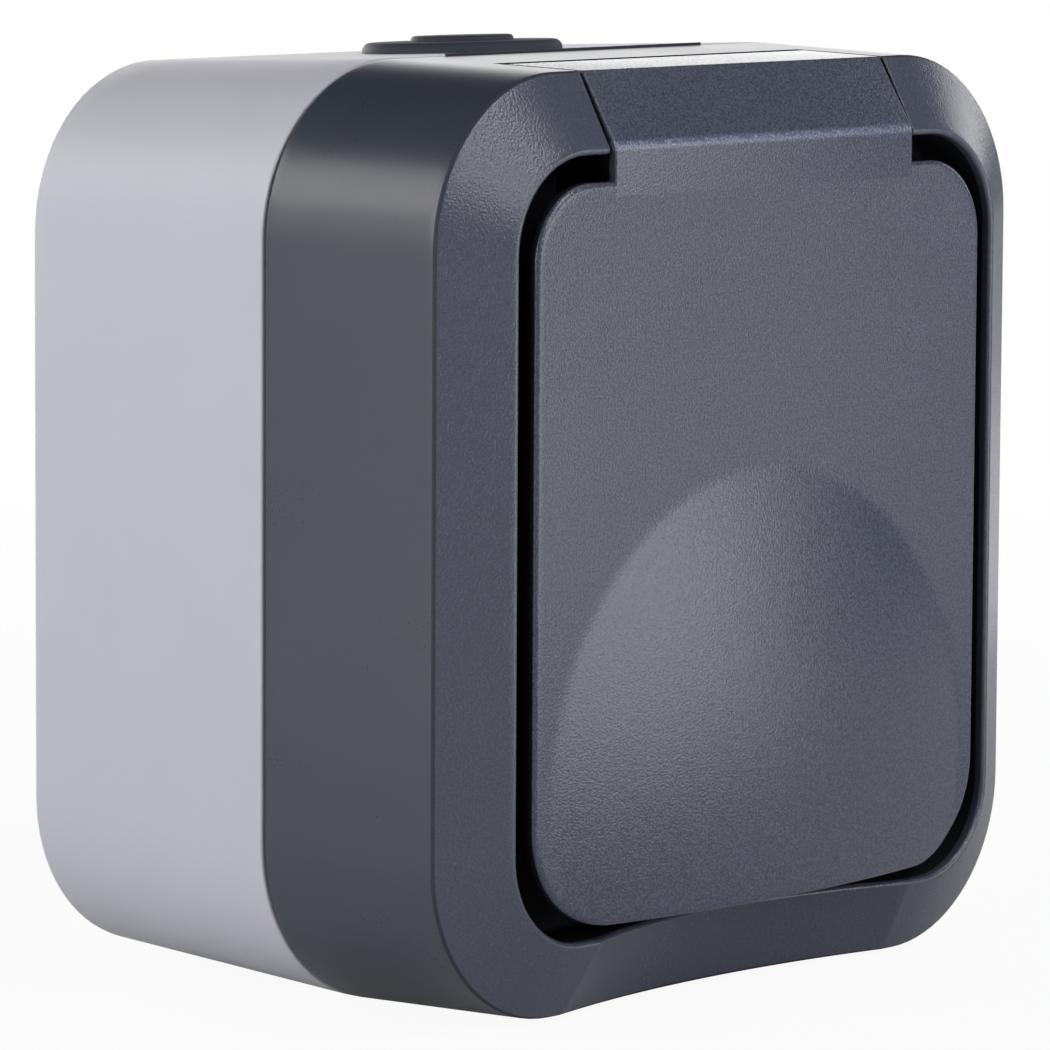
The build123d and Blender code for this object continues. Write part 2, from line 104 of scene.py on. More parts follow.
# Size of the box's innermost rings, and how far the lid's innermost rings are drawn in, as shares
BOX_CAP = 0.5
LID_DRAWN = 0.98

# An axis counts as running along y where its y is above this
ALONG_Y = 0.9
# Steps and columns of round forms
ROUND_STEPS = 6
LIP_STEPS = 4
LATHE_COLUMNS = 96
SMALL_LATHE_COLUMNS = 48
COIL_STEPS = 28
WIRE_COLUMNS = 12

# Stations of the cover's section, in the order in which it is walked
(
    SEAM_INSIDE, SEAM, SLOT_TOP, CREASE, RIM, RECESS, SLOT_FOOT, HOLE_FRONT, HOLE_BACK, POCKET_FOOT,
    POCKET_FRONT, POCKET_BACK, BAND_INSIDE, SECTION_END,
) = range(14)

# A run between two rings is long, and gets more rows, where its place on the section grows by more than this
LONG_RUN = 0.3
BOX_ROWS = 6
LID_FACE_ROWS = 84
LID_BACK_ROWS = 4
# First station, last station and rows of the cover's long runs
COVER_ROWS = ((SEAM_INSIDE, CREASE, 12), (CREASE, RIM, 14), (RIM, RECESS, 10), (RECESS, HOLE_FRONT, 6))

# Finishes of the cover and the places on its section where they change; the recess one is near-black painted shade
COVER_FINISHES = ("dark_band", "dark_frame", "dark_recess", "dark_crease")
BAND_FINISH, FRAME_FINISH, RECESS_PAINTED_SHADE, CREASE_FINISH = range(4)
FRAME_RUN = (CREASE - 0.03, RIM + 0.12)
RECESS_SHADE_RUN = (RIM + 0.12, HOLE_BACK + 0.05)
CREASE_RUN = (CREASE - 0.025, CREASE + 0.022)

# Finishes of the lid and the places on its section between which it lies in the gap, where it is near-black
# painted shade
LID_FINISHES = ("dark_grain", "dark_recess")
FACE_FINISH, GAP_PAINTED_SHADE = range(2)
GAP_SHADE_RUN = (1.42, 4.97)
# Place on the lid's section from which it no longer follows the dome
DOME_END = 4.0

# Lump sizes of the finishes' patterns
SATIN_CLOUD = 9 * MM
SATIN_RIPPLE = 0.22 * MM
GRAIN = 0.19 * MM
GRAIN_RIPPLE = 0.8 * MM
GRAIN_CLOUD = 14 * MM
RUBBER_CLOUD = 3 * MM
RUBBER_PITS = 0.3 * MM
METAL_CLOUD = 4 * MM
METAL_MARKS = 0.12 * MM
# Scale of the metal's marks along each axis, which draws them out along x
METAL_STRETCH = (0.15, 1.0, 1.0)
# Heights of the grain between which its pits, painted dark, give way to its tops, painted light, and to the tops
# that carry the painted highlight
TONE_AND_SHADE_EASE = (0.35, 0.65)
PAINTED_HIGHLIGHT_EASE = (0.45, 0.7)
# Share of the grain in its tone, partly painted light and shade, and in its relief, the rest of which is cloud and
# ripple
GRAIN_SHARE = 0.85
# Distances from the bend between which the painted highlight fades, its share in the pits, and how much lighter it
# is
PAINTED_HIGHLIGHT_FADE = (0.1 * MM, 0.55 * MM)
PAINTED_HIGHLIGHT_LEAST = 0.3
PAINTED_HIGHLIGHT_GAIN = 3.6

# Point that the lamps are hung round, and the lift of the low cards above the floor
LAMP_MIDDLE = Vector((0, -25 * MM, 0))
CARD_LIFT = 0.5 * MM
# Softboxes: azimuth, elevation, angle across, angle upright (degrees) and radiance
SOFTBOXES = {
    "left": (-95, 12, 40, 20, 7.2),
    "back_left": (-135, 28, 40, 20, 2.9),
    "front_left": (-6, 28, 20, 20, 5.1),
    "front_low": (15, 8, 20, 20, 4.1),
    "front_top": (15, 48, 20, 20, 7.2),
    "front_right": (35, 8, 20, 20, 4.4),
    "glint": (50, 12, 10, 12, 1.4),
    "right": (92, 15, 24, 18, 2.6),
    "back_right": (128, 9, 30, 20, 1.15),
    "back": (165, 8, 40, 20, 6.8),
    "top_right": (75, 60, 30, 30, 0.8),
}
# Low cards: azimuth in degrees, distance and side in metres, radiance
LOW_CARDS = {
    "left_card": (-90, 0.3, 0.25, 0.7),
    "front_card": (15, 0.3, 0.25, 2.9),
    "right_card": (104, 0.35, 0.26, 0.58),
}
# The mirrored backdrop starts behind the object, between two values of a direction's y, and ends above it,
# between two values of its z
BACKDROP_START = (0.35, 0.7)
BACKDROP_END = (0.3, 0.5)
WHITE = (1.0, 1.0, 1.0, 1.0)

# Floor: half its side, points along a side, colour, and the distances between which its shadow fades out
FLOOR_REACH = 4.0
FLOOR_POINTS = 9
FLOOR_SHADE = (0.7, 0.7, 0.71, 1.0)
SHADOW_FADE = (0.08, 0.4)

# Camera: width of its sensor in millimetres, and the nearest and farthest distance that it sees
SENSOR = 36.0
CLIP = (0.01, 20.0)


def length(name, description, millimetres):
    """A length property with its default in millimetres."""
    return FloatProperty(
        name=name, description=description, default=millimetres * MM, unit="LENGTH", precision=5,
    )


def angle(name, description, degrees):
    """An angle property with its default in degrees."""
    return FloatProperty(name=name, description=description, default=math.radians(degrees), subtype="ANGLE")


def colour(name, description, red, green, blue):
    """A colour property in linear light."""
    return FloatVectorProperty(
        name=name, description=description, default=(red, green, blue), subtype="COLOR", min=0.0, max=1.0,
    )


class HousingSizes(bpy.types.PropertyGroup):
    """Sizes of the rear box and the front cover that their frame boxes don't give."""

    wall: length("Wall", "Thickness of the moulded walls", 2.2)
    seam_corner: length("Seam corner", "Corner radius at the seam", 14.5)
    back_corner: length("Back corner", "Corner radius of the rear box at the wall", 13.7)
    box_draft_side: length("Box side draft", "How far each side leans in towards the wall", 1.65)
    box_draft_end: length("Box end draft", "How far the top and the bottom lean in towards the wall", 1.2)
    back_edge: length("Back edge", "Rounding of the rear box's edge at the wall", 0.7)
    seam_edge: length("Seam edge", "Rounding of both edges of the seam", 0.22)
    groove_inset: length("Groove inset", "Distance from the outside to the gasket groove", 0.7)
    groove_width: length("Groove width", "Width of the gasket groove", 1.0)
    groove_depth: length("Groove depth", "Depth of the gasket groove", 1.2)
    post_radius: length("Post radius", "Radius of the posts that carry the insert", 3.5)
    post_x: length("Post X", "Distance of a post from the middle", 27.5)
    post_top: length("Post top", "Depth of the posts' tops, from the wall", 13.0)
    post_hole: length("Post hole", "Radius of the screw holes in the posts", 2.05)
    post_floor: length("Post hole floor", "Depth of the screw holes' floors, from the wall", 6.0)
    wall_hole: length("Wall hole", "Radius of the wall-fixing holes", 2.5)
    wall_hole_x: length("Wall hole X", "Distance of a wall-fixing hole from the middle, across", 25.0)
    wall_hole_z: length("Wall hole Z", "Distance of a wall-fixing hole from the middle, upwards", 26.0)
    cover_draft_side: length("Cover side draft", "How far each side leans in towards the crease", 1.35)
    cover_draft_end: length("Cover end draft", "How far the top and bottom lean in towards the crease", 0.45)
    crease_corner: length("Crease corner", "Corner radius at the crease", 14.0)
    crease_edge: length("Crease edge", "Rounding of the crease", 0.45)
    bevel_rise: length("Bevel rise", "How far the bevelled frame climbs from the crease to the rim", 3.6)
    bevel_side: length("Side bevel", "Width of the bevelled frame at the sides", 6.25)
    bevel_end: length("End bevel", "Width of the bevelled frame at the top and the bottom", 6.6)
    rim_point: length("Rim point", "How far the sharp rim would stand past its rounded form", 0.16)
    rim_edge: length("Rim edge", "Rounding of the rim", 0.36)
    opening_corner: length("Opening corner", "Corner radius of the lid opening", 8.0)
    recess_drop: length("Recess drop", "Depth of the lid recess below the rim", 6.0)
    recess_floor: length("Recess floor", "Thickness of the recess floor", 2.0)
    recess_round: length("Recess round", "Rounding between the recess wall and its floor", 0.5)
    well_hole: length("Well hole", "Radius of the hole in the recess floor", 22.4)
    slot_half: length("Hinge slot", "Half the width of the hinge slot", 19.2)
    slot_lip: length("Slot lip", "Rounding of the hinge slot's edges", 0.14)
    slot_back: length("Slot back", "Depth where the hinge slot ends, from the wall", 37.5)
    slot_floor: length("Slot floor", "Height of the hinge slot's floor above the middle", 28.6)
    pocket_wall: length("Pocket wall", "Wall round the hinge slot inside the cover", 1.8)
    scallop_rim: length("Scallop at the rim", "Half the width of the finger scallop at the rim", 19.7)
    scallop_foot: length("Scallop at the crease", "Half the width of the finger scallop at the crease", 20.7)
    scallop_sink_rim: length("Scallop sink at the rim", "Depth of the finger scallop at the rim", 4.2)
    scallop_sink_foot: length("Scallop sink at the crease", "Depth of the finger scallop at the crease", 2.4)
    scallop_fade: length("Scallop fade", "Stretch of the cover's underside that follows the scallop", 9.0)
    lip_half: length("Seam lip", "Half the length of the seal's lip along the top of the seam", 16.0)
    lip_height: length("Seam lip height", "How far the seal's lip stands out of the seam", 0.2)
    lip_edge: length("Seam lip edge", "Clearance and rounding of the seal's lip", 0.05)


class LidSizes(bpy.types.PropertyGroup):
    """Sizes of the lid that its frame box doesn't give."""

    shoulder: length("Shoulder", "Height of the lid's shoulders above the middle", 29.85)
    corner_top: length("Shoulder corner", "Corner radius of the shoulders", 6.4)
    corner_low: length("Lower corner", "Corner radius of the lower corners", 8.6)
    thickness: length("Thickness", "Thickness of the lid's plate", 2.3)
    edge: length("Edge", "Rounding of the lid's front edge", 0.5)
    lip: length("Lip", "Height of the lip round the lid's front edge", 0.85)
    lip_inset: length("Lip inset", "How far the lid's side stands back behind the lip", 0.45)
    back_chamfer: length("Back chamfer", "Chamfer along the lid's back edge", 1.0)
    dome_radius: length("Dome radius", "Radius of the dome's foot", 26.1)
    dome_rise: length("Dome rise", "Height of the dome", 3.0)
    dome_drop: length("Dome drop", "Distance of the dome's middle below the lid's middle", 20.9)
    dome_blend: length("Dome blend", "Softness of the dome's foot", 0.1)
    neck_half: length("Hinge neck", "Half the width of the hinge neck", 18.8)
    neck_edge: length("Neck edge", "Rounding of the hinge neck's sides", 0.16)
    neck_lap: length("Neck lap", "How far the hinge neck reaches down over the plate", 1.2)
    neck_skin: length("Neck skin", "How far the hinge neck's face stands before the plate's", 0.006)
    bend: length("Bend", "Height of the bend above the middle", BEND)
    bend_round: length("Bend rounding", "Rounding of the bend", 1.4)
    crest_round: length("Crest rounding", "Rounding where the hinge bevel turns into the flange", 0.5)
    flange: length("Flange", "Thickness of the hinge flange", 2.0)
    bay_flange: length("Bay flange", "Thickness of the hinge flange over the spring", 1.2)
    knuckle: length("Knuckle", "Outer radius of the knuckles", 2.3)
    knuckle_bore: length("Knuckle bore", "Radius of the hole in the knuckles", 1.06)
    spring_bay: length("Spring bay", "Half the gap between the knuckles", 7.6)


class SpringSizes(bpy.types.PropertyGroup):
    """Sizes of the spring that shuts the lid."""

    coil: length("Coil", "Radius of the coil, to the middle of its wire", 1.5)
    wire: length("Wire", "Radius of the wire", 0.25)
    pitch: length("Pitch", "Length of one turn along the pin", 1.1)
    turns: FloatProperty(
        name="Turns", description="Turns of the coil, from the top to the front", default=10.25, min=1.0,
    )
    still_leg: length("Still leg", "Length of the leg that points to the slot's floor", 5.0)
    lid_leg: length("Lid leg", "Length of the leg under the lid's flange", 4.5)


class EntrySizes(bpy.types.PropertyGroup):
    """Sizes of the two-step cable entry."""

    depth: length("Depth", "Distance of the entry's middle from the wall", 16.0)
    disc: length("Disc", "Radius of the lower step", 8.65)
    disc_height: length("Disc height", "Height of the lower step", 0.9)
    step: length("Step", "Radius of the upper step", 4.45)
    step_height: length("Step height", "Height of the upper step", 0.48)
    disc_edge: length("Disc edge", "Rounding of the lower step", 0.75)
    step_edge: length("Step edge", "Rounding of the upper step", 0.38)
    foot_round: length("Foot rounding", "Hollow rounding between the steps", 0.08)
    neck: length("Neck", "Radius of the neck in the wall", 6.7)
    clearance: length("Clearance", "Room between the neck and its hole", 0.05)
    flange: length("Flange", "Radius of the flange inside the wall", 8.0)
    flange_height: length("Flange height", "Height of the flange inside the wall", 1.0)
    skin: length("Skin", "Thickness of the part that a cable pierces", 1.0)


class FinishColours(bpy.types.PropertyGroup):
    """Base colours of the finishes."""

    grey_shell: colour("Grey shell", "Moulding of the rear box", 0.480, 0.480, 0.530)
    dark_band: colour("Dark band", "Smooth moulding of the cover's side band", 0.035, 0.041, 0.056)
    dark_frame: colour("Dark frame", "Finely grained moulding of the cover's frame", 0.055, 0.062, 0.087)
    dark_grain: colour("Dark grain", "Grained moulding of the lid", 0.056, 0.063, 0.090)
    dark_crease: colour("Dark crease", "Parting line between the band and the frame", 0.030, 0.034, 0.045)
    # Near-black painted shade for the recess, the hinge slot, and the lid's sides and neck core in the gap round
    # the lid
    dark_recess: colour("Dark recess", "Dull moulding in the gap round the lid", 0.010, 0.011, 0.014)
    dark_rubber: colour("Dark rubber", "Rubber of the entry and the seals", 0.030, 0.034, 0.046)
    steel: colour("Steel", "Plated steel", 0.60, 0.60, 0.62)
    plated_strip: colour("Plated strip", "Plated spring strip", 0.66, 0.65, 0.62)
    contact_brass: colour("Contact brass", "Brass of the contacts", 0.70, 0.50, 0.22)
    pale_insulator: colour("Pale insulator", "Moulding that carries the contacts", 0.70, 0.67, 0.60)


class StageSettings(bpy.types.PropertyGroup):
    """Camera place and light levels."""

    camera_place: FloatVectorProperty(
        name="Camera place", description="Where the camera stands", default=(-0.410118, -0.401332, 0.064609),
        subtype="TRANSLATION", unit="LENGTH",
    )
    yaw: angle("Yaw", "Camera's turn to the right of +Y", 47.358)
    pitch: angle("Pitch", "Camera's tilt above the horizon", -6.801)
    roll: angle("Roll", "Camera's roll", -0.318)
    lens: FloatProperty(name="Lens", description="Focal length in millimetres", default=223.75, min=1.0)
    shadow_share: FloatProperty(
        name="Shadow share", description="How much of the floor's own shade the camera sees", default=0.07,
        min=0.0, max=1.0, subtype="FACTOR",
    )
    lamp_level: FloatProperty(name="Lamp level", description="Factor on all the lamps", default=1.0, min=0.0)
    lamp_distance: length("Lamp distance", "Distance of the softboxes from the object", 1200.0)


GROUPS = {
    "socket_housing": HousingSizes,
    "socket_lid": LidSizes,
    "socket_spring": SpringSizes,
    "socket_entry": EntrySizes,
    "socket_colours": FinishColours,
    "socket_stage": StageSettings,
}


# Curves and surfaces

def unit(vectors):
    """Vectors of length one, along the last axis."""
    return vectors / np.linalg.norm(vectors, axis=-1, keepdims=True)


def round_corners(points, radii):
    """Replace each inner corner of an open polyline by an arc that touches both of its runs.

    An arc of radius r starts r * tan(turn / 2) before its corner and turns in equal steps. A corner without
    a radius stays. Gives the new points and, for each, its place along the old polyline, where corner number
    n lies at n.
    """
    points = np.asarray(points, float)
    out, places = [points[:1]], [np.zeros(1)]
    for index in range(1, len(points) - 1):
        before, here, after = points[index - 1:index + 2]
        if radii[index] <= 0:
            out.append(here[None])
            places.append(np.array([float(index)]))
            continue
        run_in, run_out = np.linalg.norm(here - before), np.linalg.norm(after - here)
        heading_in, heading_out = (here - before) / run_in, (after - here) / run_out
        turn = math.acos(heading_in @ heading_out)
        back = radii[index] * math.tan(turn / 2)
        inward = unit(heading_out - heading_in * (heading_in @ heading_out))
        sweep = np.linspace(0, turn, ROUND_STEPS + 1)[:, None]
        start = here - heading_in * back
        out.append(start + radii[index] * (heading_in * np.sin(sweep) + inward * (1 - np.cos(sweep))))
        places.append(index + np.linspace(-back / run_in, back / run_out, ROUND_STEPS + 1))
    out.append(points[-1:])
    places.append(np.array([len(points) - 1.0]))
    return np.concatenate(out), np.concatenate(places)


def walk(start, stop, count):
    """Evenly spaced values from each row's start towards its stop, the stop left out."""
    return start[:, None] + (stop - start)[:, None] * (np.arange(count) / count)


def rounded_rings(half_width, half_height, corner_top, corner_low, top_mark, low_mark, columns):
    """Rounded rectangles, one a row, walked clockwise from the left end of the top.

    Straight sides are joined by quarter arcs. The top and the bottom are cut at plus and minus a mark, so
    that a column lies on each mark. Gives x, z and each column's share of sideways facing, the square of its
    normal's x.
    """
    side, corner, outer, middle = columns
    turn = np.arange(corner) / corner * np.pi / 2
    sine, cosine = np.sin(turn), np.cos(turn)

    def held(value, count):
        """Each row's value, held for a count of columns."""
        return np.repeat(value[:, None], count, axis=1)

    def arc(centre, radius, shape):
        """Each row's centre plus its radius times a sine or cosine."""
        return centre[:, None] + radius[:, None] * shape

    reach_top, reach_low = half_width - corner_top, half_width - corner_low
    rise_top, rise_low = half_height - corner_top, half_height - corner_low
    top = np.concatenate([
        walk(-reach_top, -top_mark, outer),
        walk(-top_mark, top_mark, middle),
        walk(top_mark, reach_top, outer),
    ], axis=1)
    low = np.concatenate([
        walk(reach_low, low_mark, outer),
        walk(low_mark, -low_mark, middle),
        walk(-low_mark, -reach_low, outer),
    ], axis=1)
    end = top.shape[1]
    x = np.concatenate([
        top, arc(reach_top, corner_top, sine), held(half_width, side), arc(reach_low, corner_low, cosine),
        low, arc(-reach_low, corner_low, -sine), held(-half_width, side),
        arc(-reach_top, corner_top, -cosine),
    ], axis=1)
    z = np.concatenate([
        held(half_height, end), arc(rise_top, corner_top, cosine), walk(rise_top, -rise_low, side),
        arc(-rise_low, corner_low, -sine), held(-half_height, end), arc(-rise_low, corner_low, -cosine),
        walk(-rise_low, rise_top, side), arc(rise_top, corner_top, sine),
    ], axis=1)
    quarter = [np.zeros(end), sine ** 2, np.ones(side), cosine ** 2]
    return x, z, np.concatenate(quarter + quarter)


def ring_stack(side_path, end_path, radii, corners, marks, columns, middle=0.0):
    """Rings along a section: a side and an end profile, mixed by how far each column faces sideways.

    Each profile is a list of (half size, depth) corners, both rounded with the same radii. Corner radii and
    marks are carried linearly along the section. Gives points as (ring, column, xyz) and each ring's place
    on the section.
    """
    side, places = round_corners(side_path, radii)
    end, _ = round_corners(end_path, radii)
    index = np.arange(len(side_path))
    corner_top, corner_low = (np.interp(places, index, values) for values in corners)
    top_mark, low_mark = (np.interp(places, index, values) for values in marks)
    x, z, sideways = rounded_rings(
        side[:, 0], end[:, 0], corner_top, corner_low, top_mark, low_mark, columns,
    )
    depth = side[:, 1:] * sideways + end[:, 1:] * (1 - sideways)
    return np.stack([x, -depth, z + middle], axis=2), places


def between(rings, counts):
    """Rings with evenly spaced ones put between neighbours: count steps from each ring to the next."""
    blocks = [
        low + (high - low) * (np.arange(count) / count)[:, None, None]
        for low, high, count in zip(rings[:-1], rings[1:], counts)
    ]
    return np.concatenate(blocks + [rings[-1:]])


def fill_rows(rings, places, counts):
    """Put rings between neighbours, and give every ring's place on the section too."""
    return between(rings, counts), between(places[:, None, None], counts)[:, 0, 0]


def row_at(places, station):
    """Number of the ring that lies on a station."""
    return int(np.flatnonzero(np.isclose(places, station))[0])


def lathe(profile, origin, axis, columns=LATHE_COLUMNS):
    """A profile of (radius, height) turned once round an axis: origin + height * axis + radius * spoke."""
    axis = unit(np.asarray(axis, float))
    across = (1.0, 0.0, 0.0) if abs(axis[1]) > ALONG_Y else (0.0, 1.0, 0.0)
    first = unit(np.cross(axis, across))
    turn = np.arange(columns) / columns * 2 * np.pi
    spokes = np.cos(turn)[:, None] * first + np.sin(turn)[:, None] * np.cross(axis, first)
    profile = np.asarray(profile, float)
    return np.asarray(origin) + profile[:, None, 1:] * axis + profile[:, None, :1] * spokes


def rod(radius, reach):
    """Profile of a solid rod that reaches as far on both sides."""
    return [(0, -reach), (radius, -reach), (radius, reach), (0, reach)]


def left_of(heading):
    """Directions in the y-z plane a quarter turn to the left of headings."""
    return np.stack([-heading[:, 1], heading[:, 0]], axis=1)


def inward_normals(path, closed):
    """Unit normals of a y-z path whose body lies on the left of the way it is walked."""
    if closed:
        return left_of(unit(np.roll(path, -1, axis=0) - np.roll(path, 1, axis=0)))
    return left_of(unit(np.gradient(path, axis=0)))


def mitre(path, distance):
    """Offset an open polyline to its inner side, every run by the same distance.

    Each corner moves along the sum of its two runs' normals, divided by one plus their dot product.
    """
    normal = left_of(unit(np.diff(path, axis=0)))
    before, after = np.concatenate([normal[:1], normal]), np.concatenate([normal, normal[-1:]])
    share = 1 + np.sum(before * after, axis=1, keepdims=True)
    return path + distance * (before + after) / share


class Shell:
    """Patches of one piece, gathered and then welded into a mesh."""

    def __init__(self):
        self.points, self.faces, self.paints, self.count = [], [], [], 0

    def grid(self, points, close_rows=False, close_columns=True, keep=None, paint=0):
        """Add a grid of points as quads. keep drops quads, and paint is one finish number or one a row."""
        rows, columns = points.shape[:2]
        number = self.count + np.arange(rows * columns).reshape(rows, columns)
        if close_rows:
            number = np.concatenate([number, number[:1]])
        if close_columns:
            number = np.concatenate([number, number[:, :1]], axis=1)
        quads = np.stack([number[:-1, :-1], number[:-1, 1:], number[1:, 1:], number[1:, :-1]], axis=2)
        paints = np.broadcast_to(np.reshape(paint, (-1, 1)), quads.shape[:2])
        chosen = np.ones(quads.shape[:2], bool) if keep is None else keep
        self.points.append(points.reshape(-1, 3))
        self.faces += quads[chosen].tolist()
        self.paints += paints[chosen].tolist()
        self.count += rows * columns

    def polygon(self, points, paint=0):
        """Add one flat face."""
        self.points.append(np.asarray(points))
        self.faces.append(list(range(self.count, self.count + len(points))))
        self.paints.append(paint)
        self.count += len(points)

    def capped(self, rows, paint=0):
        """Add a grid that is closed round its columns, and a flat face on its first and on its last row."""
        self.grid(rows, paint=paint)
        first, last = np.ravel(paint)[[0, -1]].tolist()
        self.polygon(rows[0], paint=first)
        self.polygon(rows[-1], paint=last)

    def mesh(self, name):
        """Weld the patches into a mesh whose faces point outwards."""
        mesh = bpy.data.meshes.new(name)
        mesh.from_pydata(np.concatenate(self.points).tolist(), [], self.faces)
        mesh.polygons.foreach_set("material_index", np.array(self.paints, np.int32))
        weld(mesh)
        return mesh

    def piece(self, name, finishes, body, slot, nodes):
        """Make a smoothly shaded object of the patches and hide the nodes of the frame that it stands for.

        It rides on a body, unless that is None.
        """
        mesh = self.mesh(name)
        for title in finishes:
            mesh.materials.append(finish(title))
        smooth(mesh)
        shell = add_object(name, mesh)
        if body:
            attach(shell, body)
        if nodes:
            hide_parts(*nodes)
        return shell


def add_object(name, data):
    """A new object in the scene."""
    made = bpy.data.objects.new(name, data)
    bpy.context.scene.collection.objects.link(made)
    return made


def weld(mesh):
    """Merge points that coincide, drop faces without area and turn every face outwards."""
    work = bmesh.new()
    work.from_mesh(mesh)
    bmesh.ops.remove_doubles(work, verts=work.verts, dist=WELD_REACH)
    bmesh.ops.dissolve_degenerate(work, edges=work.edges, dist=WELD_REACH)
    bmesh.ops.recalc_face_normals(work, faces=work.faces)
    work.to_mesh(mesh)
    work.free()


def smooth(mesh):
    """Shade smoothly across every edge that isn't sharp."""
    mesh.polygons.foreach_set("use_smooth", np.ones(len(mesh.polygons), bool))
    mesh.set_sharp_from_angle(angle=SHARP)
    mesh.update()


def combine(shell, operation, forms):
    """Join closed turned forms to a piece, or take them away from it, and keep the result as its mesh."""
    made = Shell()
    for points in forms:
        made.grid(points)
    form = add_object("form", made.mesh("form"))
    modifier = shell.modifiers.new("form", "BOOLEAN")
    modifier.operation = operation
    modifier.solver = "EXACT"
    modifier.object = form
    whole = shell.evaluated_get(bpy.context.evaluated_depsgraph_get())
    result = bpy.data.meshes.new_from_object(whole)
    shell.modifiers.clear()
    shell.data = result
    smooth(result)
    bpy.data.objects.remove(form)


# Finishes

class Value:
    """A shader value that does sums: each operator adds a Math node and gives its result."""

    def __init__(self, tree, socket):
        self.tree, self.socket = tree, socket

    def math(self, operation, *terms):
        """Add a Math node on some terms, which are values or numbers."""
        node = self.tree.nodes.new("ShaderNodeMath")
        node.operation = operation
        for socket, term in zip(node.inputs, terms):
            if isinstance(term, Value):
                self.tree.links.new(term.socket, socket)
            else:
                socket.default_value = term
        return Value(self.tree, node.outputs[0])

    def __add__(self, other):
        return self.math("ADD", self, other)

    def __radd__(self, other):
        return self.math("ADD", other, self)

    def __sub__(self, other):
        return self.math("SUBTRACT", self, other)

    def __rsub__(self, other):
        return self.math("SUBTRACT", other, self)

    def __mul__(self, other):
        return self.math("MULTIPLY", self, other)

    def __rmul__(self, other):
        return self.math("MULTIPLY", other, self)

    def __abs__(self):
        return self.math("ABSOLUTE", self)


class Tree:
    """A node tree with one method that adds any node."""

    def __init__(self, tree):
        self.tree = tree

    def node(self, kind, settings=None, inputs=None, output=0):
        """Add a node: its settings first, then the values or links of its inputs, and give one output."""
        node = self.tree.nodes.new(kind)
        for name, value in (settings or {}).items():
            setattr(node, name, value)
        for name, value in (inputs or {}).items():
            self.put(node.inputs[name], value)
        return Value(self.tree, node.outputs[output])

    def put(self, socket, value):
        """Link a value to a socket, or set it."""
        if isinstance(value, Value):
            self.tree.links.new(value.socket, socket)
        else:
            socket.default_value = value

    def ease(self, value, low, high):
        """A smooth step from 0 at low to 1 at high."""
        return self.node(
            "ShaderNodeMapRange", {"interpolation_type": "SMOOTHSTEP"},
            {"Value": value, "From Min": low, "From Max": high},
        )

    def part(self, vector, axis):
        """One part of a vector, named X, Y or Z."""
        return self.node("ShaderNodeSeparateXYZ", inputs={"Vector": vector}, output=axis)


class Finish(Tree):
    """A material under construction, with its shader and the coordinates that its patterns read."""

    def __init__(self, name):
        self.material = bpy.data.materials.new(name)
        self.material.use_nodes = True
        super().__init__(self.material.node_tree)
        self.shader = self.tree.nodes["Principled BSDF"]
        self.place = self.node("ShaderNodeTexCoord", output="Object")

    def dress(self, **inputs):
        """Set or link the shader's inputs, whose names have underscores for spaces."""
        for name, value in inputs.items():
            self.put(self.shader.inputs[name.replace("_", " ")], value)

    def noise(self, size, detail, place=None):
        """Soft noise whose lumps are about one size across, from 0 to 1."""
        return self.node(
            "ShaderNodeTexNoise",
            inputs={"Vector": place or self.place, "Scale": 1 / size, "Detail": detail},
        )

    def mix(self, mask, first, second):
        """The first colour where a mask is 0 and the second where it is 1.

        The node's sockets go by number, because other kinds of value share their names.
        """
        return self.node("ShaderNodeMix", {"data_type": "RGBA"}, {0: mask, 6: first, 7: second}, output=2)

    def tint(self, shade, mask, amount):
        """A colour that is darker by an amount where a mask is 0 and lighter by it where the mask is 1."""
        dark = [part * (1 - amount) for part in shade] + [1.0]
        light = [min(1.0, part * (1 + amount)) for part in shade] + [1.0]
        return self.mix(mask, dark, light)

    def bump(self, height, distance):
        """A normal bent by a height map of 0 to 1 that stands a distance high."""
        return self.node(
            "ShaderNodeBump", inputs={"Strength": 1.0, "Distance": distance, "Height": height},
            output="Normal",
        )


def swing(mask, amount):
    """A mask of 0 to 1 as a swing round nought, an amount wide."""
    return amount * (mask - 0.5)


def satin_moulding(name, shade, roughness, relief, gloss):
    """Smooth moulded plastic: faint cloudy colour, uneven gloss and a ripple far finer than its gloss."""
    made = Finish(name)
    cloud = made.noise(SATIN_CLOUD, detail=3.0)
    ripple = made.noise(SATIN_RIPPLE, detail=2.0)
    made.dress(
        Base_Color=made.tint(shade, cloud, amount=0.03),
        Roughness=roughness + swing(cloud, amount=0.06) + swing(ripple, amount=0.05),
        Normal=made.bump(ripple, relief),
        Specular_IOR_Level=gloss,
    )
    return made.material


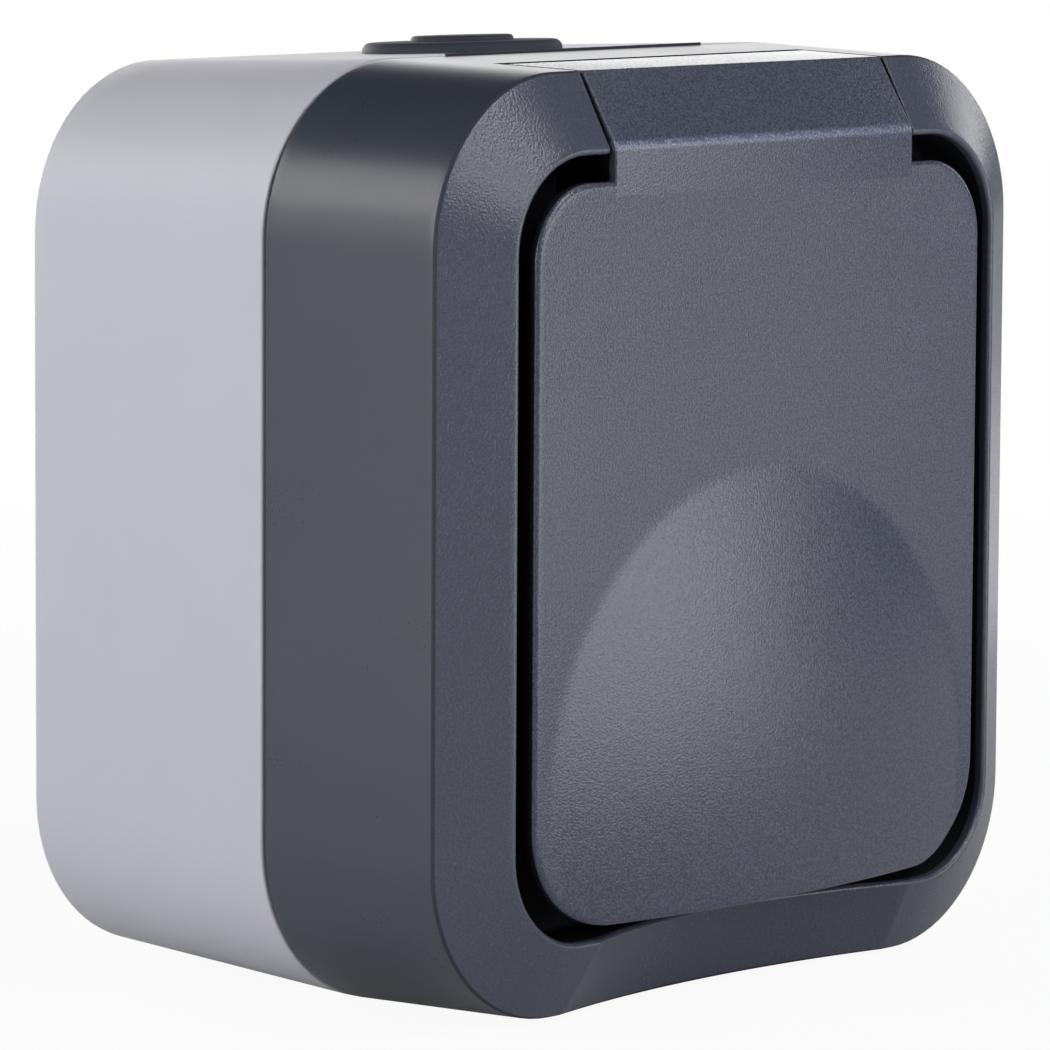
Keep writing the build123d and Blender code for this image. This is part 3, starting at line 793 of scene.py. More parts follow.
def grained_moulding(name, shade, roughness, relief, gloss, speckle, bend=None):
    """Spark-eroded plastic: a leathery grain over slow ripples, painted light on its tops and dark in its pits,
    partly its own tone and partly painted light and shade.

    Where a bend lies at a height, a highlight is painted along it, lightest on the grain's tops.
    """
    made = Finish(name)
    grain = made.noise(GRAIN, detail=1.0)
    ripple = made.noise(GRAIN_RIPPLE, detail=0.0)
    cloud = made.noise(GRAIN_CLOUD, detail=1.0)
    # The grain's tops are painted lighter and its pits darker: partly its own tone, partly painted light and shade
    grain_tone_and_shade = GRAIN_SHARE * made.ease(grain, *TONE_AND_SHADE_EASE) + (1 - GRAIN_SHARE) * cloud
    tone = made.tint(shade, grain_tone_and_shade, amount=speckle)
    # Along the bend a highlight is painted into the colour, lightest on the grain's tops
    if bend:
        near = 1 - made.ease(abs(made.part(made.place, "Z") - bend), *PAINTED_HIGHLIGHT_FADE)
        painted_highlight = near * (PAINTED_HIGHLIGHT_LEAST + (1 - PAINTED_HIGHLIGHT_LEAST) * made.ease(grain, *PAINTED_HIGHLIGHT_EASE))
        tone = made.mix(painted_highlight, tone, [PAINTED_HIGHLIGHT_GAIN * part for part in shade] + [1.0])
    made.dress(
        Base_Color=tone,
        Roughness=roughness + swing(grain, amount=0.12) + swing(cloud, amount=0.06),
        Normal=made.bump(GRAIN_SHARE * grain + (1 - GRAIN_SHARE) * ripple, relief),
        Specular_IOR_Level=gloss,
    )
    return made.material


def soft_rubber(name, shade, roughness, relief, gloss):
    """Matt rubber: dull, slightly blotched and faintly pitted."""
    made = Finish(name)
    cloud = made.noise(RUBBER_CLOUD, detail=3.0)
    pits = made.noise(RUBBER_PITS, detail=2.0)
    made.dress(
        Base_Color=made.tint(shade, cloud, amount=0.12),
        Roughness=roughness + swing(cloud, amount=0.12),
        Normal=made.bump(pits, relief),
        Specular_IOR_Level=gloss,
    )
    return made.material


def plated_metal(name, shade, roughness, relief):
    """Plated or bare metal: cloudy tint and fine drawing marks along the frame's x axis."""
    made = Finish(name)
    drawn = made.node("ShaderNodeMapping", inputs={"Vector": made.place, "Scale": METAL_STRETCH})
    marks = made.noise(METAL_MARKS, detail=3.0, place=drawn)
    cloud = made.noise(METAL_CLOUD, detail=2.0)
    made.dress(
        Base_Color=made.tint(shade, cloud, amount=0.08),
        Metallic=1.0,
        Roughness=roughness + swing(marks, amount=0.14),
        Normal=made.bump(marks, relief),
    )
    return made.material


# Each finish: its maker and the maker's settings after the colour
FINISHES = {
    "grey_shell": (satin_moulding, {"roughness": 0.42, "relief": 0.0012 * MM, "gloss": 0.37}),
    "dark_band": (satin_moulding, {"roughness": 0.29, "relief": 0.0016 * MM, "gloss": 0.67}),
    "dark_frame": (
        grained_moulding, {"roughness": 0.24, "relief": 0.045 * MM, "gloss": 0.46, "speckle": 0.1},
    ),
    "dark_grain": (
        grained_moulding,
        {"roughness": 0.22, "relief": 0.042 * MM, "gloss": 0.46, "speckle": 0.3, "bend": BEND * MM},
    ),
    "dark_crease": (satin_moulding, {"roughness": 0.6, "relief": 0.0016 * MM, "gloss": 0.2}),
    # Dull near-black finish that paints the shade in the recess and in the gap round the lid
    "dark_recess": (satin_moulding, {"roughness": 0.7, "relief": 0.0016 * MM, "gloss": 0.1}),
    "dark_rubber": (soft_rubber, {"roughness": 0.66, "relief": 0.012 * MM, "gloss": 0.25}),
    "steel": (plated_metal, {"roughness": 0.42, "relief": 0.004 * MM}),
    "plated_strip": (plated_metal, {"roughness": 0.26, "relief": 0.004 * MM}),
    "contact_brass": (plated_metal, {"roughness": 0.28, "relief": 0.004 * MM}),
    "pale_insulator": (satin_moulding, {"roughness": 0.55, "relief": 0.004 * MM, "gloss": 0.5}),
}


def finish(name):
    """A finish by name, made once.

    Its material has a name of its own, because the frame's plain one has the slot's.
    """
    title = name + "_finish"
    known = bpy.data.materials.get(title)
    if known:
        return known
    maker, settings = FINISHES[name]
    return maker(title, list(getattr(bpy.context.scene.socket_colours, name)), **settings)


# Pieces

def corners_of(node):
    """Lowest and highest corner of a frame node, as arrays."""
    low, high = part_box(node)
    return np.array(low), np.array(high)


def hinge_place():
    """Middle of the hinge's axis."""
    return np.array(frame["joints"][0]["pos_m"])


def rear_box_rings(size):
    """Rings of the rear box along its section.

    The section runs over the back face, the rounded back edge, the leaning side, the seam face with its
    groove, the inside and the floor.
    """
    low, high = corners_of("rear_box")
    half_x, half_z, front = high[0], high[2], -low[1]
    floor_share = 1 - size.wall / front
    groove = front - size.groove_depth
    groove_end = size.groove_inset + size.groove_width
    steps = [
        (size.groove_inset, front), (size.groove_inset, groove), (groove_end, groove), (groove_end, front),
        (size.wall, front),
    ]

    def profile(half, draft):
        """Corners of the section on a side or an end: half its size at the seam, and how far it leans in."""
        back = half - draft
        floor = half - draft * floor_share - size.wall
        outside = [(BOX_CAP * back, 0.0), (back, 0.0), (half, front)]
        seam = [(half - inset, depth) for inset, depth in steps]
        return outside + seam + [(floor, size.wall), (BOX_CAP * floor, size.wall)]

    inner_corner = size.seam_corner + (size.back_corner - size.seam_corner) * floor_share - size.wall
    corner = [BOX_CAP * size.back_corner, size.back_corner, size.seam_corner]
    corner += [size.seam_corner - inset for inset, _ in steps] + [inner_corner, BOX_CAP * inner_corner]
    radii = [0, size.back_edge, size.seam_edge] + [0] * (len(corner) - 3)
    mark = [BOX_MARK * half_x] * len(corner)
    side, end = profile(half_x, size.box_draft_side), profile(half_z, size.box_draft_end)
    rings, places = ring_stack(side, end, radii, (corner, corner), (mark, mark), BOX_COLUMNS)
    return between(rings, np.where(np.diff(places) > LONG_RUN, BOX_ROWS, 1))


def build_rear_box(size, entry):
    """The rear box as one closed surface, with its posts added and its wall holes and cable entry cut."""
    shell = Shell()
    shell.capped(rear_box_rings(size))
    piece = shell.piece("rear_box_shell", ["grey_shell"], HOUSING, "grey_shell", ["rear_box"])
    front = (0, -1, 0)
    post = [
        (0, size.wall / 2), (size.post_radius, size.wall / 2), (size.post_radius, size.post_top),
        (size.post_hole, size.post_top), (size.post_hole, size.post_floor), (0, size.post_floor),
    ]
    posts = [lathe(post, (sign * size.post_x, 0, 0), front, SMALL_LATHE_COLUMNS) for sign in (-1, 1)]
    combine(piece, "UNION", posts)
    reach = 3 * size.wall
    spots = [(-size.wall_hole_x, 0, size.wall_hole_z), (size.wall_hole_x, 0, -size.wall_hole_z)]
    holes = [lathe(rod(size.wall_hole, reach), spot, front, SMALL_LATHE_COLUMNS) for spot in spots]
    origin, axis = entry_place(size, entry)
    combine(piece, "DIFFERENCE", holes + [lathe(rod(entry.neck + entry.clearance, reach), origin, axis)])


def entry_place(size, entry):
    """Middle of the cable entry on the top face and the face's outward direction."""
    low, high = corners_of("rear_box")
    front = -low[1]
    height = high[2] - size.box_draft_end * (1 - entry.depth / front)
    return np.array([0.0, -entry.depth, height]), unit(np.array([0.0, size.box_draft_end, front]))


def build_entry(size, entry):
    """The cable entry, turned as one form.

    It has two rounded steps, a neck, a flange inside the wall and a hollow under the skin.
    """
    top = entry.disc_height + entry.step_height
    under = -size.wall
    foot = under - entry.flange_height
    corners = [
        (0, top, 0),
        (entry.step, top, entry.step_edge),
        (entry.step, entry.disc_height, entry.foot_round),
        (entry.disc, entry.disc_height, entry.disc_edge),
        (entry.disc, 0, 0),
        (entry.neck, 0, 0),
        (entry.neck, under, 0),
        (entry.flange, under, 0),
        (entry.flange, foot, entry.step_edge),
        (entry.step, foot, 0),
        (entry.step, top - entry.skin, 0),
        (0, top - entry.skin, 0),
    ]
    profile, _ = round_corners([corner[:2] for corner in corners], [corner[2] for corner in corners])
    shell = Shell()
    shell.grid(lathe(profile, *entry_place(size, entry)))
    shell.piece("cable_entry", ["dark_rubber"], HOUSING, "dark_rubber", ["cable_membrane"])


def build_seam_lip(size):
    """The seal's lip along the top of the seam: a thin upright strip between the rear box and the cover."""
    box_low, box_high = corners_of("rear_box")
    _, cover_high = corners_of("front_cover")
    near, far = cover_high[1] + size.lip_edge, box_low[1] - size.lip_edge
    top, foot = box_high[2] + size.lip_height, box_high[2] - size.groove_inset
    section = np.array([(far, top), (near, top), (near, foot), (far, foot)])
    shell = Shell()
    carry_across(shell, section, size.lip_half, size.lip_edge)
    shell.piece("seam_lip", ["dark_rubber"], HOUSING, "dark_rubber", [])


def cover_stations(size):
    """Stations of the cover's section: seam, band, bevel and rim, then into the recess and back inside.

    Gives each station's half width, half height, corner radius, depth and rounding, and then the depths of
    the seam, the crease and the recess and half the height of the lid opening.
    """
    low, high = corners_of("front_cover")
    half_x, half_z, seam, rim = high[0], high[2], -high[1], -low[1]
    crease = rim - size.bevel_rise
    recess = rim - size.recess_drop
    recess_back = recess - size.recess_floor
    pocket = size.slot_back - size.pocket_wall
    pocket_z = size.slot_floor - size.pocket_wall
    opening_x = half_x - size.cover_draft_side - size.bevel_side
    opening_z = half_z - size.cover_draft_end - size.bevel_end
    step = opening_z - size.slot_floor
    hole = size.well_hole

    def band(depth, inset=0.0):
        """Half width, half height and corner radius of the band at a depth."""
        share = (depth - seam) / (crease - seam)
        corner = size.seam_corner + (size.crease_corner - size.seam_corner) * share
        return (
            half_x - size.cover_draft_side * share - inset,
            half_z - size.cover_draft_end * share - inset,
            corner - inset,
        )

    inner_x, _, inner_corner = band(recess_back, size.wall)
    pocket_x = inner_x - inner_corner + size.opening_corner
    stations = {
        SEAM_INSIDE: (*band(seam, size.wall / 2), seam, 0),
        SEAM: (*band(seam), seam, size.seam_edge),
        SLOT_TOP: (*band(size.slot_back), size.slot_back, 0),
        CREASE: (*band(crease), crease, size.crease_edge),
        RIM: (opening_x, opening_z, size.opening_corner, rim + size.rim_point, size.rim_edge),
        RECESS: (opening_x, opening_z, size.opening_corner, recess, size.recess_round),
        SLOT_FOOT: (opening_x - step, opening_z - step, size.opening_corner - step, recess, 0),
        HOLE_FRONT: (hole, hole, hole, recess, 0),
        HOLE_BACK: (hole, hole, hole, recess_back, 0),
        POCKET_FOOT: (pocket_x, pocket_z, size.opening_corner, recess_back, 0),
        POCKET_FRONT: (*band(recess_back, size.wall), recess_back, 0),
        POCKET_BACK: (*band(pocket, size.wall), pocket, 0),
        BAND_INSIDE: (*band(pocket, size.wall), pocket, 0),
        SECTION_END: (*band(seam, size.wall), seam, 0),
    }
    return stations, seam, crease, recess, opening_z


def cover_rows(size):
    """Rings of the front cover along its section, and each ring's place on it.

    Round the well's hole each ring is a circle, on which every column keeps its direction from the middle.
    Inside, the rings pass under the hinge pocket.
    """
    stations, seam, crease, recess, opening_z = cover_stations(size)
    widths, heights, corner, depths, radii = zip(*stations.values())
    top_mark = [size.slot_half + size.slot_lip] * len(stations)
    low_mark = [size.scallop_foot] * RIM + [size.scallop_rim] * (len(stations) - RIM)
    for station in (HOLE_FRONT, HOLE_BACK):
        top_mark[station] = low_mark[station] = 0.0
    rings, places = ring_stack(
        list(zip(widths, depths)), list(zip(heights, depths)), radii, (corner, corner), (top_mark, low_mark),
        COVER_COLUMNS,
    )
    spoke = unit(rings[row_at(places, SLOT_FOOT)][:, [0, 2]])
    for station in (HOLE_FRONT, HOLE_BACK):
        rings[row_at(places, station)][:, [0, 2]] = size.well_hole * spoke
    _, pocket_z, *_ = stations[POCKET_FOOT]
    for station in (POCKET_FRONT, POCKET_BACK):
        ring = rings[row_at(places, station)]
        under = (np.abs(ring[:, 0]) <= size.slot_half + size.pocket_wall) & (ring[:, 2] > pocket_z)
        ring[under, 2] = pocket_z
    counts = np.ones(len(places) - 1, int)
    for first, last, count in COVER_ROWS:
        counts[(places[:-1] >= first) & (places[:-1] < last) & (np.diff(places) > LONG_RUN)] = count
    rows, row_places = fill_rows(rings, places, counts)
    sink_scallop(rows, size, crease, recess, opening_z, size.cover_draft_end / (crease - seam))
    return rows, row_places


def sink_scallop(rows, size, crease, recess, opening_z, draft):
    """Sink the finger scallop by an arc whose width and depth change from the rim to the crease.

    The arc is circular: it is nought at plus and minus its half width and deepest in the middle. On the
    recess wall it fades out towards the floor. On the underside it fades out towards the seam and follows
    the band's draft.
    """
    x, depth, z = rows[..., 0], -rows[..., 1], rows[..., 2]
    rim = crease + size.bevel_rise
    near = 1e-6
    share = np.clip((-z - opening_z) / size.bevel_end, 0, 1)
    half = size.scallop_rim + (size.scallop_foot - size.scallop_rim) * share
    sink = size.scallop_sink_rim + (size.scallop_sink_foot - size.scallop_sink_rim) * share
    radius = (half ** 2 + sink ** 2) / (2 * sink)
    arc = np.sqrt(np.clip(radius ** 2 - np.minimum(np.abs(x), half) ** 2, 0, None)) - (radius - sink)
    on_wall = np.abs(z + opening_z) < near
    on_band = (depth < crease - near) & ~on_wall
    fade = np.ones_like(x)
    fade = np.where(on_wall, np.clip((depth - recess) / (rim - recess), 0, 1), fade)
    fade = np.where(on_band, np.clip(1 - (crease - depth) / size.scallop_fade, 0, 1), fade)
    move = np.where(z <= near - opening_z, arc * fade, 0)
    rows[..., 1] += move
    rows[..., 2] -= np.where(on_band, move * draft, 0)


def within(places, run):
    """Which places lie inside a run."""
    return (places >= run[0]) & (places < run[1])


def build_cover(size):
    """The front cover as one closed surface, with the hinge slot left open and lined."""
    rows, places = cover_rows(size)
    _, _, outer, middle = COVER_COLUMNS
    left, right = outer, outer + middle
    first, last = row_at(places, SLOT_TOP), row_at(places, SLOT_FOOT)
    keep = np.ones(rows.shape[:2], bool)
    keep[first:last, left:right] = False
    # The recess wall and floor get near-black painted shade
    paints = np.select(
        [within(places, CREASE_RUN), within(places, FRAME_RUN), within(places, RECESS_SHADE_RUN)],
        [CREASE_FINISH, FRAME_FINISH, RECESS_PAINTED_SHADE], BAND_FINISH,
    )
    shell = Shell()
    shell.grid(rows, close_rows=True, keep=keep, paint=paints)
    line_slot(shell, rows[first:last + 1], left, right, size)
    shell.piece("front_cover_shell", COVER_FINISHES, HOUSING, "dark_shell", ["front_cover"])


def line_slot(shell, rows, left, right, size):
    """Close the hinge slot: a rounded lip and a flat cheek at each end, a back wall and a floor."""
    turn = np.linspace(0, np.pi / 2, LIP_STEPS + 1)
    lips = {}
    for sign, column in ((-1, left), (1, right)):
        edge = rows[:, column, 1:]
        inward = inward_normals(edge, closed=False)
        sunk = edge[None] + (size.slot_lip * (1 - np.cos(turn)))[:, None, None] * inward
        across = sign * (size.slot_half + size.slot_lip * (1 - np.sin(turn)))
        lip = np.concatenate([np.broadcast_to(across[:, None, None], sunk[..., :1].shape), sunk], axis=2)
        shell.grid(lip, close_columns=False, paint=FRAME_FINISH)
        heel = np.array([[sign * size.slot_half, -size.slot_back, size.slot_floor]])
        # The slot's cheeks, back wall and floor get near-black painted shade
        shell.polygon(np.concatenate([lip[-1], heel]), paint=RECESS_PAINTED_SHADE)
        lips[sign] = (lip, heel)
    (left_lip, left_heel), (right_lip, right_heel) = lips[-1], lips[1]
    for row in (0, -1):
        top = rows[row, left:right + 1]
        outline = [top, right_lip[1:, row], right_heel, left_heel, left_lip[:0:-1, row]]
        shell.polygon(np.concatenate(outline), paint=RECESS_PAINTED_SHADE)


def dome_height(x, z, size):
    """Height of a spherical cap over the lid's face, eased into the face at its foot.

    It is half of cap plus the root of cap squared plus the blend squared, where cap is the sphere's height
    above the face and is negative outside the foot. The dome's rise is its upper limit.
    """
    ball = (size.dome_radius ** 2 + size.dome_rise ** 2) / (2 * size.dome_rise)
    away = x ** 2 + (z + size.dome_drop) ** 2
    cap = np.sqrt(np.clip(ball ** 2 - away, 0, None)) - (ball - size.dome_rise)
    return np.minimum((cap + np.sqrt(cap ** 2 + size.dome_blend ** 2)) / 2, size.dome_rise)


def build_lid(size):
    """The lid: domed plate, folded hinge neck and two knuckles, each a closed surface."""
    low, high = corners_of("lid")
    half_x, bottom, front = high[0], low[2], -low[1] - size.dome_rise
    half_z, middle = (size.shoulder - bottom) / 2, (size.shoulder + bottom) / 2
    back = front - size.thickness
    under_lip, inset, chamfer = front - size.lip, size.lip_inset, size.back_chamfer
    # Each station: share of the size that is drawn in, length that is drawn in, depth and rounding
    stations = [
        (LID_DRAWN, 0, front, 0),
        (0, 0, front, size.edge),
        (0, 0, under_lip, 0),
        (0, inset, under_lip, 0),
        (0, inset, back + chamfer - inset, 0),
        (0, chamfer, back, 0),
        (LID_DRAWN, 0, back, 0),
    ]

    def drawn_in(value):
        """A half size or corner radius at each station."""
        return [value * (1 - share) - inwards for share, inwards, _, _ in stations]

    _, _, depths, radii = zip(*stations)
    side, end = list(zip(drawn_in(half_x), depths)), list(zip(drawn_in(half_z), depths))
    corners = drawn_in(size.corner_top), drawn_in(size.corner_low)
    mark = drawn_in(LID_MARK * half_x)
    rings, places = ring_stack(side, end, radii, corners, (mark, mark), LID_COLUMNS, middle)
    counts = np.ones(len(places) - 1, int)
    counts[0], counts[-1] = LID_FACE_ROWS, LID_BACK_ROWS
    rows, row_places = fill_rows(rings, places, counts)
    follow = np.clip(DOME_END - row_places, 0, 1)[:, None]
    rows[..., 1] -= follow * dome_height(rows[..., 0], rows[..., 2], size)
    shell = Shell()
    # The lid's sides, which lie in the gap, get near-black painted shade
    shell.capped(rows, paint=np.where(within(row_places[:-1], GAP_SHADE_RUN), GAP_PAINTED_SHADE, FACE_FINISH))
    fold_neck(shell, size, front, back, -high[1], high[2])
    near, far = size.spring_bay, size.neck_half - size.lip_inset
    bore, outside = size.knuckle_bore, size.knuckle
    tube = [(bore, near), (outside, near), (outside, far), (bore, far)]
    for sign in (-1, 1):
        shell.grid(lathe(tube, hinge_place(), (sign, 0, 0), SMALL_LATHE_COLUMNS), close_rows=True)
    shell.piece("lid_shell", LID_FINISHES, LID, "dark_shell", ["lid"])


def carry_across(shell, section, half, edge, middle=0.0, paint=0):
    """Carry a closed y-z section across x, drawn in along its normals by a quarter round at each end."""
    inward = inward_normals(section, closed=True)
    turn = np.linspace(np.pi / 2, 0, ROUND_STEPS + 1)
    sunk = edge * (1 - np.cos(turn))
    across = half - edge * (1 - np.sin(turn))
    sunk = np.concatenate([sunk, sunk[::-1]])
    across = middle + np.concatenate([-across, across[::-1]])
    drawn = section[None] + sunk[:, None, None] * inward
    spread = np.broadcast_to(across[:, None, None], drawn[..., :1].shape)
    shell.capped(np.concatenate([spread, drawn], axis=2), paint=paint)


def fold_neck(shell, size, front, back, flange_end, flange_top):
    """Hinge neck: a thin skin up the lid's face, over the bend and back along the top, on a narrower core.

    The core is thinner over the spring.
    """
    housing = bpy.context.scene.socket_housing
    cover_low, cover_high = corners_of("front_cover")
    crease = -cover_low[1] - housing.bevel_rise
    crest = cover_high[2] - housing.cover_draft_end
    sole = size.shoulder - size.neck_lap
    face = np.array([
        (-flange_end, flange_top), (-crease, crest), (-front - size.neck_skin, size.bend),
        (-front - size.neck_skin, sole),
    ])
    outside, _ = round_corners(face, [0, size.crest_round, size.bend_round, 0])
    skin = np.concatenate([outside, mitre(face, size.lip)[::-1]])
    carry_across(shell, skin, size.neck_half, size.neck_edge)

    def core(flange):
        """Section of the core with a flange of a thickness."""
        under = [
            (-back, sole), (-back, size.bend - flange / 4), (flange / 2 - crease, crest - flange),
            (-flange_end, flange_top - flange),
        ]
        return np.concatenate([mitre(face, size.lip / 2), under])

    # The core, which shows in the gap, gets near-black painted shade, over the spring too
    half = (size.neck_half - size.lip_inset - size.spring_bay) / 2
    for sign in (-1, 1):
        middle = sign * (size.spring_bay + half)
        carry_across(shell, core(size.flange), half, size.neck_edge, middle, GAP_PAINTED_SHADE)
    bay = size.spring_bay + size.lip_inset
    carry_across(shell, core(size.bay_flange), bay, size.neck_edge, paint=GAP_PAINTED_SHADE)


def build_spring(size):
    """The lid's spring: a helix round the pin with a straight leg along its tangent at each end.

    At a turn a the wire's middle lies at pivot + coil * spoke, where spoke is (-sin a, cos a) in y and z,
    and x grows with a. Circles of wire stand on the spoke and on the cross product of tangent and spoke.
    """
    pivot = hinge_place()
    turn = np.linspace(0, size.turns * 2 * np.pi, int(size.turns * COIL_STEPS) + 1)
    climb = size.pitch / (2 * np.pi)
    half = size.pitch * size.turns / 2
    zero = np.zeros_like(turn)
    spoke = np.stack([zero, -np.sin(turn), np.cos(turn)], axis=1)
    tangent = unit(np.stack([zero + climb, -size.coil * np.cos(turn), -size.coil * np.sin(turn)], axis=1))
    middle = pivot + size.coil * spoke + np.stack([climb * turn - half, zero, zero], axis=1)
    lid_end, still_end = middle[:1] - size.lid_leg * tangent[:1], middle[-1:] + size.still_leg * tangent[-1:]
    middle = np.concatenate([lid_end, middle, still_end])
    spoke, tangent = (np.concatenate([part[:1], part, part[-1:]]) for part in (spoke, tangent))
    around = (np.arange(WIRE_COLUMNS) / WIRE_COLUMNS * 2 * np.pi)[:, None]
    side = np.cross(tangent, spoke)
    wire = np.cos(around) * spoke[:, None] + np.sin(around) * side[:, None]
    shell = Shell()
    shell.capped(middle[:, None] + size.wire * wire)
    piece = shell.piece("lid_spring_wire", ["steel"], None, "steel", ["lid_spring"])
    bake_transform(piece)


def dress_inner_pieces():
    """Give every frame node, also those that a new piece stands for, the finish of its material slot."""
    # Of the finishes of the dark slot, the inner pieces have the smooth one
    other_names = {"dark_shell": "dark_band"}
    for part in frame["record"]["subparts"]:
        node = frame["nodes"][part["node"]]
        slot = part["material_slot"]
        node.data.materials.clear()
        node.data.materials.append(finish(other_names.get(slot, slot)))


# Stage

def camera_matrix(stage):
    """Camera axes from yaw, pitch and roll: it looks along forward, with right and up turned by the roll."""
    level = math.cos(stage.pitch)
    forward = Vector((math.sin(stage.yaw) * level, math.cos(stage.yaw) * level, math.sin(stage.pitch)))
    right = Vector((math.cos(stage.yaw), -math.sin(stage.yaw), 0.0))
    down = forward.cross(right)
    turned_right = right * math.cos(stage.roll) + down * math.sin(stage.roll)
    turned_down = down * math.cos(stage.roll) - right * math.sin(stage.roll)
    axes = Matrix((turned_right, -turned_down, -forward)).transposed()
    return Matrix.Translation(stage.camera_place) @ axes.to_4x4()


def build_camera(stage):
    """The camera at the photograph's place."""
    camera = add_object("camera", bpy.data.cameras.new("camera"))
    camera.matrix_world = camera_matrix(stage)
    camera.data.sensor_width = SENSOR
    camera.data.lens = stage.lens
    camera.data.clip_start, camera.data.clip_end = CLIP
    bpy.context.scene.camera = camera


def direction(azimuth, elevation):
    """Unit vector from the object: azimuth 0 is the front, positive to the right, in degrees."""
    turn, climb = math.radians(azimuth), math.radians(elevation)
    return Vector((math.sin(turn) * math.cos(climb), -math.cos(turn) * math.cos(climb), math.sin(climb)))


def hang_lamp(name, place, back, width, height, radiance):
    """A soft rectangular lamp of one radiance, hidden from the camera, whose back points one way.

    Its watts are pi times its area times its radiance.
    """
    lamp = bpy.data.lights.new(name, "AREA")
    lamp.shape = "RECTANGLE"
    lamp.size, lamp.size_y = width, height
    lamp.energy = math.pi * width * height * radiance
    holder = add_object(name, lamp)
    holder.location = place
    holder.rotation_euler = back.to_track_quat("Z", "Y").to_euler()
    holder.visible_camera = False


def add_softboxes(stage):
    """Softboxes round the object, each given by its direction and the angles that it covers."""
    for name, (azimuth, elevation, across, upright, radiance) in SOFTBOXES.items():
        away = direction(azimuth, elevation)
        width, height = (
            2 * stage.lamp_distance * math.tan(math.radians(cover / 2)) for cover in (across, upright)
        )
        place = LAMP_MIDDLE + away * stage.lamp_distance
        hang_lamp(name, place, away, width, height, radiance * stage.lamp_level)


def add_low_cards(stage):
    """Bright cards that lie on the floor beside the object and face upwards."""
    low, _ = CAD_BOX
    lift = Vector((0, 0, low[2] + CARD_LIFT))
    for name, (azimuth, distance, side, radiance) in LOW_CARDS.items():
        place = LAMP_MIDDLE + direction(azimuth, 0) * distance + lift
        hang_lamp(name, place, Vector((0, 0, -1)), side, side, radiance * stage.lamp_level)


def build_world():
    """White wherever the camera looks.

    Mirrored and refracted rays see a white backdrop, low down behind the object. Other rays see black.
    """
    world = bpy.data.worlds.new("studio")
    world.use_nodes = True
    bpy.context.scene.world = world
    tree = Tree(world.node_tree)
    heading = tree.node("ShaderNodeTexCoord", output="Generated")
    behind, above = tree.part(heading, "Y"), tree.part(heading, "Z")
    backdrop = tree.ease(behind, *BACKDROP_START) * (1 - tree.ease(above, *BACKDROP_END))
    kinds = ("Camera", "Glossy", "Transmission")
    camera, glossy, transmission = (
        tree.node("ShaderNodeLightPath", output=f"Is {kind} Ray") for kind in kinds
    )
    mirrored = glossy.math("MAXIMUM", glossy, transmission)
    background = world.node_tree.nodes["Background"]
    tree.put(background.inputs["Color"], WHITE)
    tree.put(background.inputs["Strength"], camera + (1 - camera) * mirrored * backdrop)


def build_floor(stage):
    """A wide pale floor under the object.

    The camera sees it as white paper that keeps a faint shadow near the object and runs out into the plain
    white background.
    """
    low, _ = CAD_BOX
    span = np.linspace(-FLOOR_REACH, FLOOR_REACH, FLOOR_POINTS)
    x, y = np.meshgrid(span, span)
    shell = Shell()
    shell.grid(np.stack([x, y, np.full_like(x, low[2])], axis=2), close_columns=False)
    mesh = bpy.data.meshes.new("floor")
    mesh.from_pydata(np.concatenate(shell.points).tolist(), [], [face[::-1] for face in shell.faces])
    floor = add_object("floor", mesh)
    made = Finish("pale_floor")
    made.dress(Base_Color=FLOOR_SHADE, Roughness=0.9, Specular_IOR_Level=0.1)
    seen = made.node("ShaderNodeLightPath", output="Is Camera Ray")
    away = made.node("ShaderNodeVectorMath", {"operation": "LENGTH"}, {0: made.place}, output="Value")
    white = 1 - stage.shadow_share * (1 - made.ease(away, *SHADOW_FADE))
    glow = made.node("ShaderNodeEmission", inputs={"Color": WHITE, "Strength": 1.0})
    paper = Value(made.tree, made.shader.outputs[0])
    mixed = made.node("ShaderNodeMixShader", inputs={0: seen * white, 1: paper, 2: glow})
    made.put(made.tree.nodes["Material Output"].inputs["Surface"], mixed)
    mesh.materials.append(made.material)


def build_stage(stage):
    """Camera, floor, white background and soft lamps."""
    bpy.context.scene.view_settings.view_transform = "Standard"
    build_camera(stage)
    build_world()
    build_floor(stage)
    add_softboxes(stage)
    add_low_cards(stage)


# Operators

class SOCKET_OT_rear_box(bpy.types.Operator):
    """Build the rear box"""

    bl_idname = "socket.rear_box"
    bl_label = "Rear box"

    def execute(self, context):
        build_rear_box(context.scene.socket_housing, context.scene.socket_entry)
        return {"FINISHED"}


class SOCKET_OT_cable_entry(bpy.types.Operator):
    """Build the rubber cable entry"""

    bl_idname = "socket.cable_entry"
    bl_label = "Cable entry"

    def execute(self, context):
        build_entry(context.scene.socket_housing, context.scene.socket_entry)
        return {"FINISHED"}


class SOCKET_OT_seam_lip(bpy.types.Operator):
    """Build the seal's lip in the seam"""

    bl_idname = "socket.seam_lip"
    bl_label = "Seam lip"

    def execute(self, context):
        build_seam_lip(context.scene.socket_housing)
        return {"FINISHED"}


class SOCKET_OT_front_cover(bpy.types.Operator):
    """Build the front cover"""

    bl_idname = "socket.front_cover"
    bl_label = "Front cover"

    def execute(self, context):
        build_cover(context.scene.socket_housing)
        return {"FINISHED"}


class SOCKET_OT_lid(bpy.types.Operator):
    """Build the hinged lid"""

    bl_idname = "socket.lid"
    bl_label = "Lid"

    def execute(self, context):
        build_lid(context.scene.socket_lid)
        return {"FINISHED"}


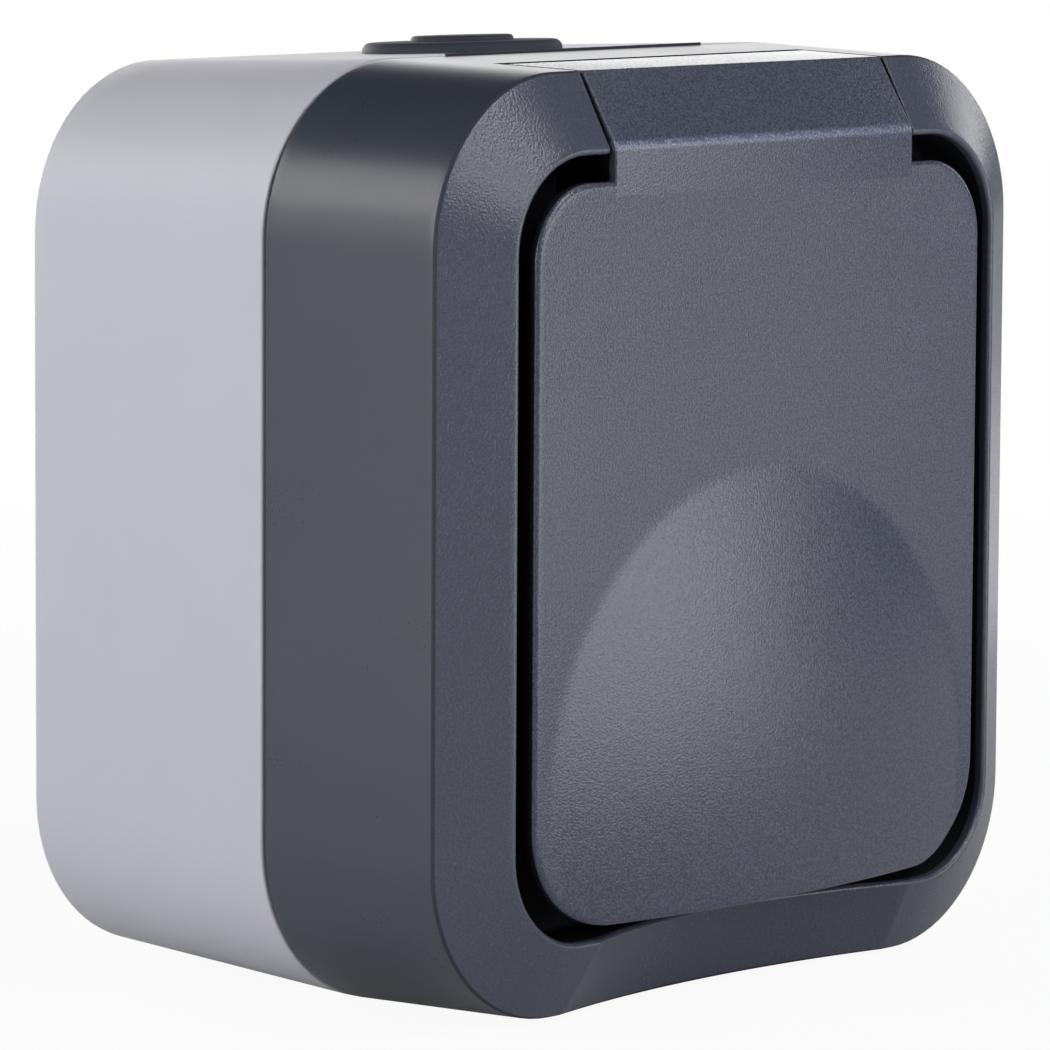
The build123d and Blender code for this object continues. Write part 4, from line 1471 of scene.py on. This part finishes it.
class SOCKET_OT_lid_spring(bpy.types.Operator):
    """Build the spring that shuts the lid"""

    bl_idname = "socket.lid_spring"
    bl_label = "Lid spring"

    def execute(self, context):
        build_spring(context.scene.socket_spring)
        return {"FINISHED"}


class SOCKET_OT_inner_pieces(bpy.types.Operator):
    """Dress the inner pieces of the frame"""

    bl_idname = "socket.inner_pieces"
    bl_label = "Inner pieces"

    def execute(self, context):
        dress_inner_pieces()
        return {"FINISHED"}


class SOCKET_OT_stage(bpy.types.Operator):
    """Set up the camera, the floor and the light"""

    bl_idname = "socket.stage"
    bl_label = "Stage"

    def execute(self, context):
        build_stage(context.scene.socket_stage)
        return {"FINISHED"}


OPERATORS = (
    SOCKET_OT_rear_box, SOCKET_OT_cable_entry, SOCKET_OT_seam_lip, SOCKET_OT_front_cover, SOCKET_OT_lid,
    SOCKET_OT_lid_spring, SOCKET_OT_inner_pieces, SOCKET_OT_stage,
)


class SOCKET_PT_pieces(bpy.types.Panel):
    """Buttons that build the socket's pieces, and their settings"""

    bl_idname = "SOCKET_PT_pieces"
    bl_label = "Weatherproof socket"
    bl_space_type = "VIEW_3D"
    bl_region_type = "UI"
    bl_category = "Socket"

    def draw(self, context):
        for operator in OPERATORS:
            self.layout.operator(operator.bl_idname)
        for name, group in GROUPS.items():
            box = self.layout.box()
            box.label(text=name)
            for prop in group.__annotations__:
                box.prop(getattr(context.scene, name), prop)


CLASSES = (*GROUPS.values(), *OPERATORS, SOCKET_PT_pieces)


def register():
    """Register the classes and give the scene their settings."""
    for item in CLASSES:
        bpy.utils.register_class(item)
    for name, group in GROUPS.items():
        setattr(bpy.types.Scene, name, PointerProperty(type=group))


def unregister():
    """Take the settings and the classes away again."""
    for name in GROUPS:
        delattr(bpy.types.Scene, name)
    for item in reversed(CLASSES):
        bpy.utils.unregister_class(item)


def main():
    """Register the add-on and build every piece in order."""
    register()
    bpy.ops.socket.rear_box()
    bpy.ops.socket.cable_entry()
    bpy.ops.socket.seam_lip()
    bpy.ops.socket.front_cover()
    bpy.ops.socket.lid()
    bpy.ops.socket.lid_spring()
    bpy.ops.socket.inner_pieces()
    bpy.ops.socket.stage()


if __name__ == "__main__":
    main()
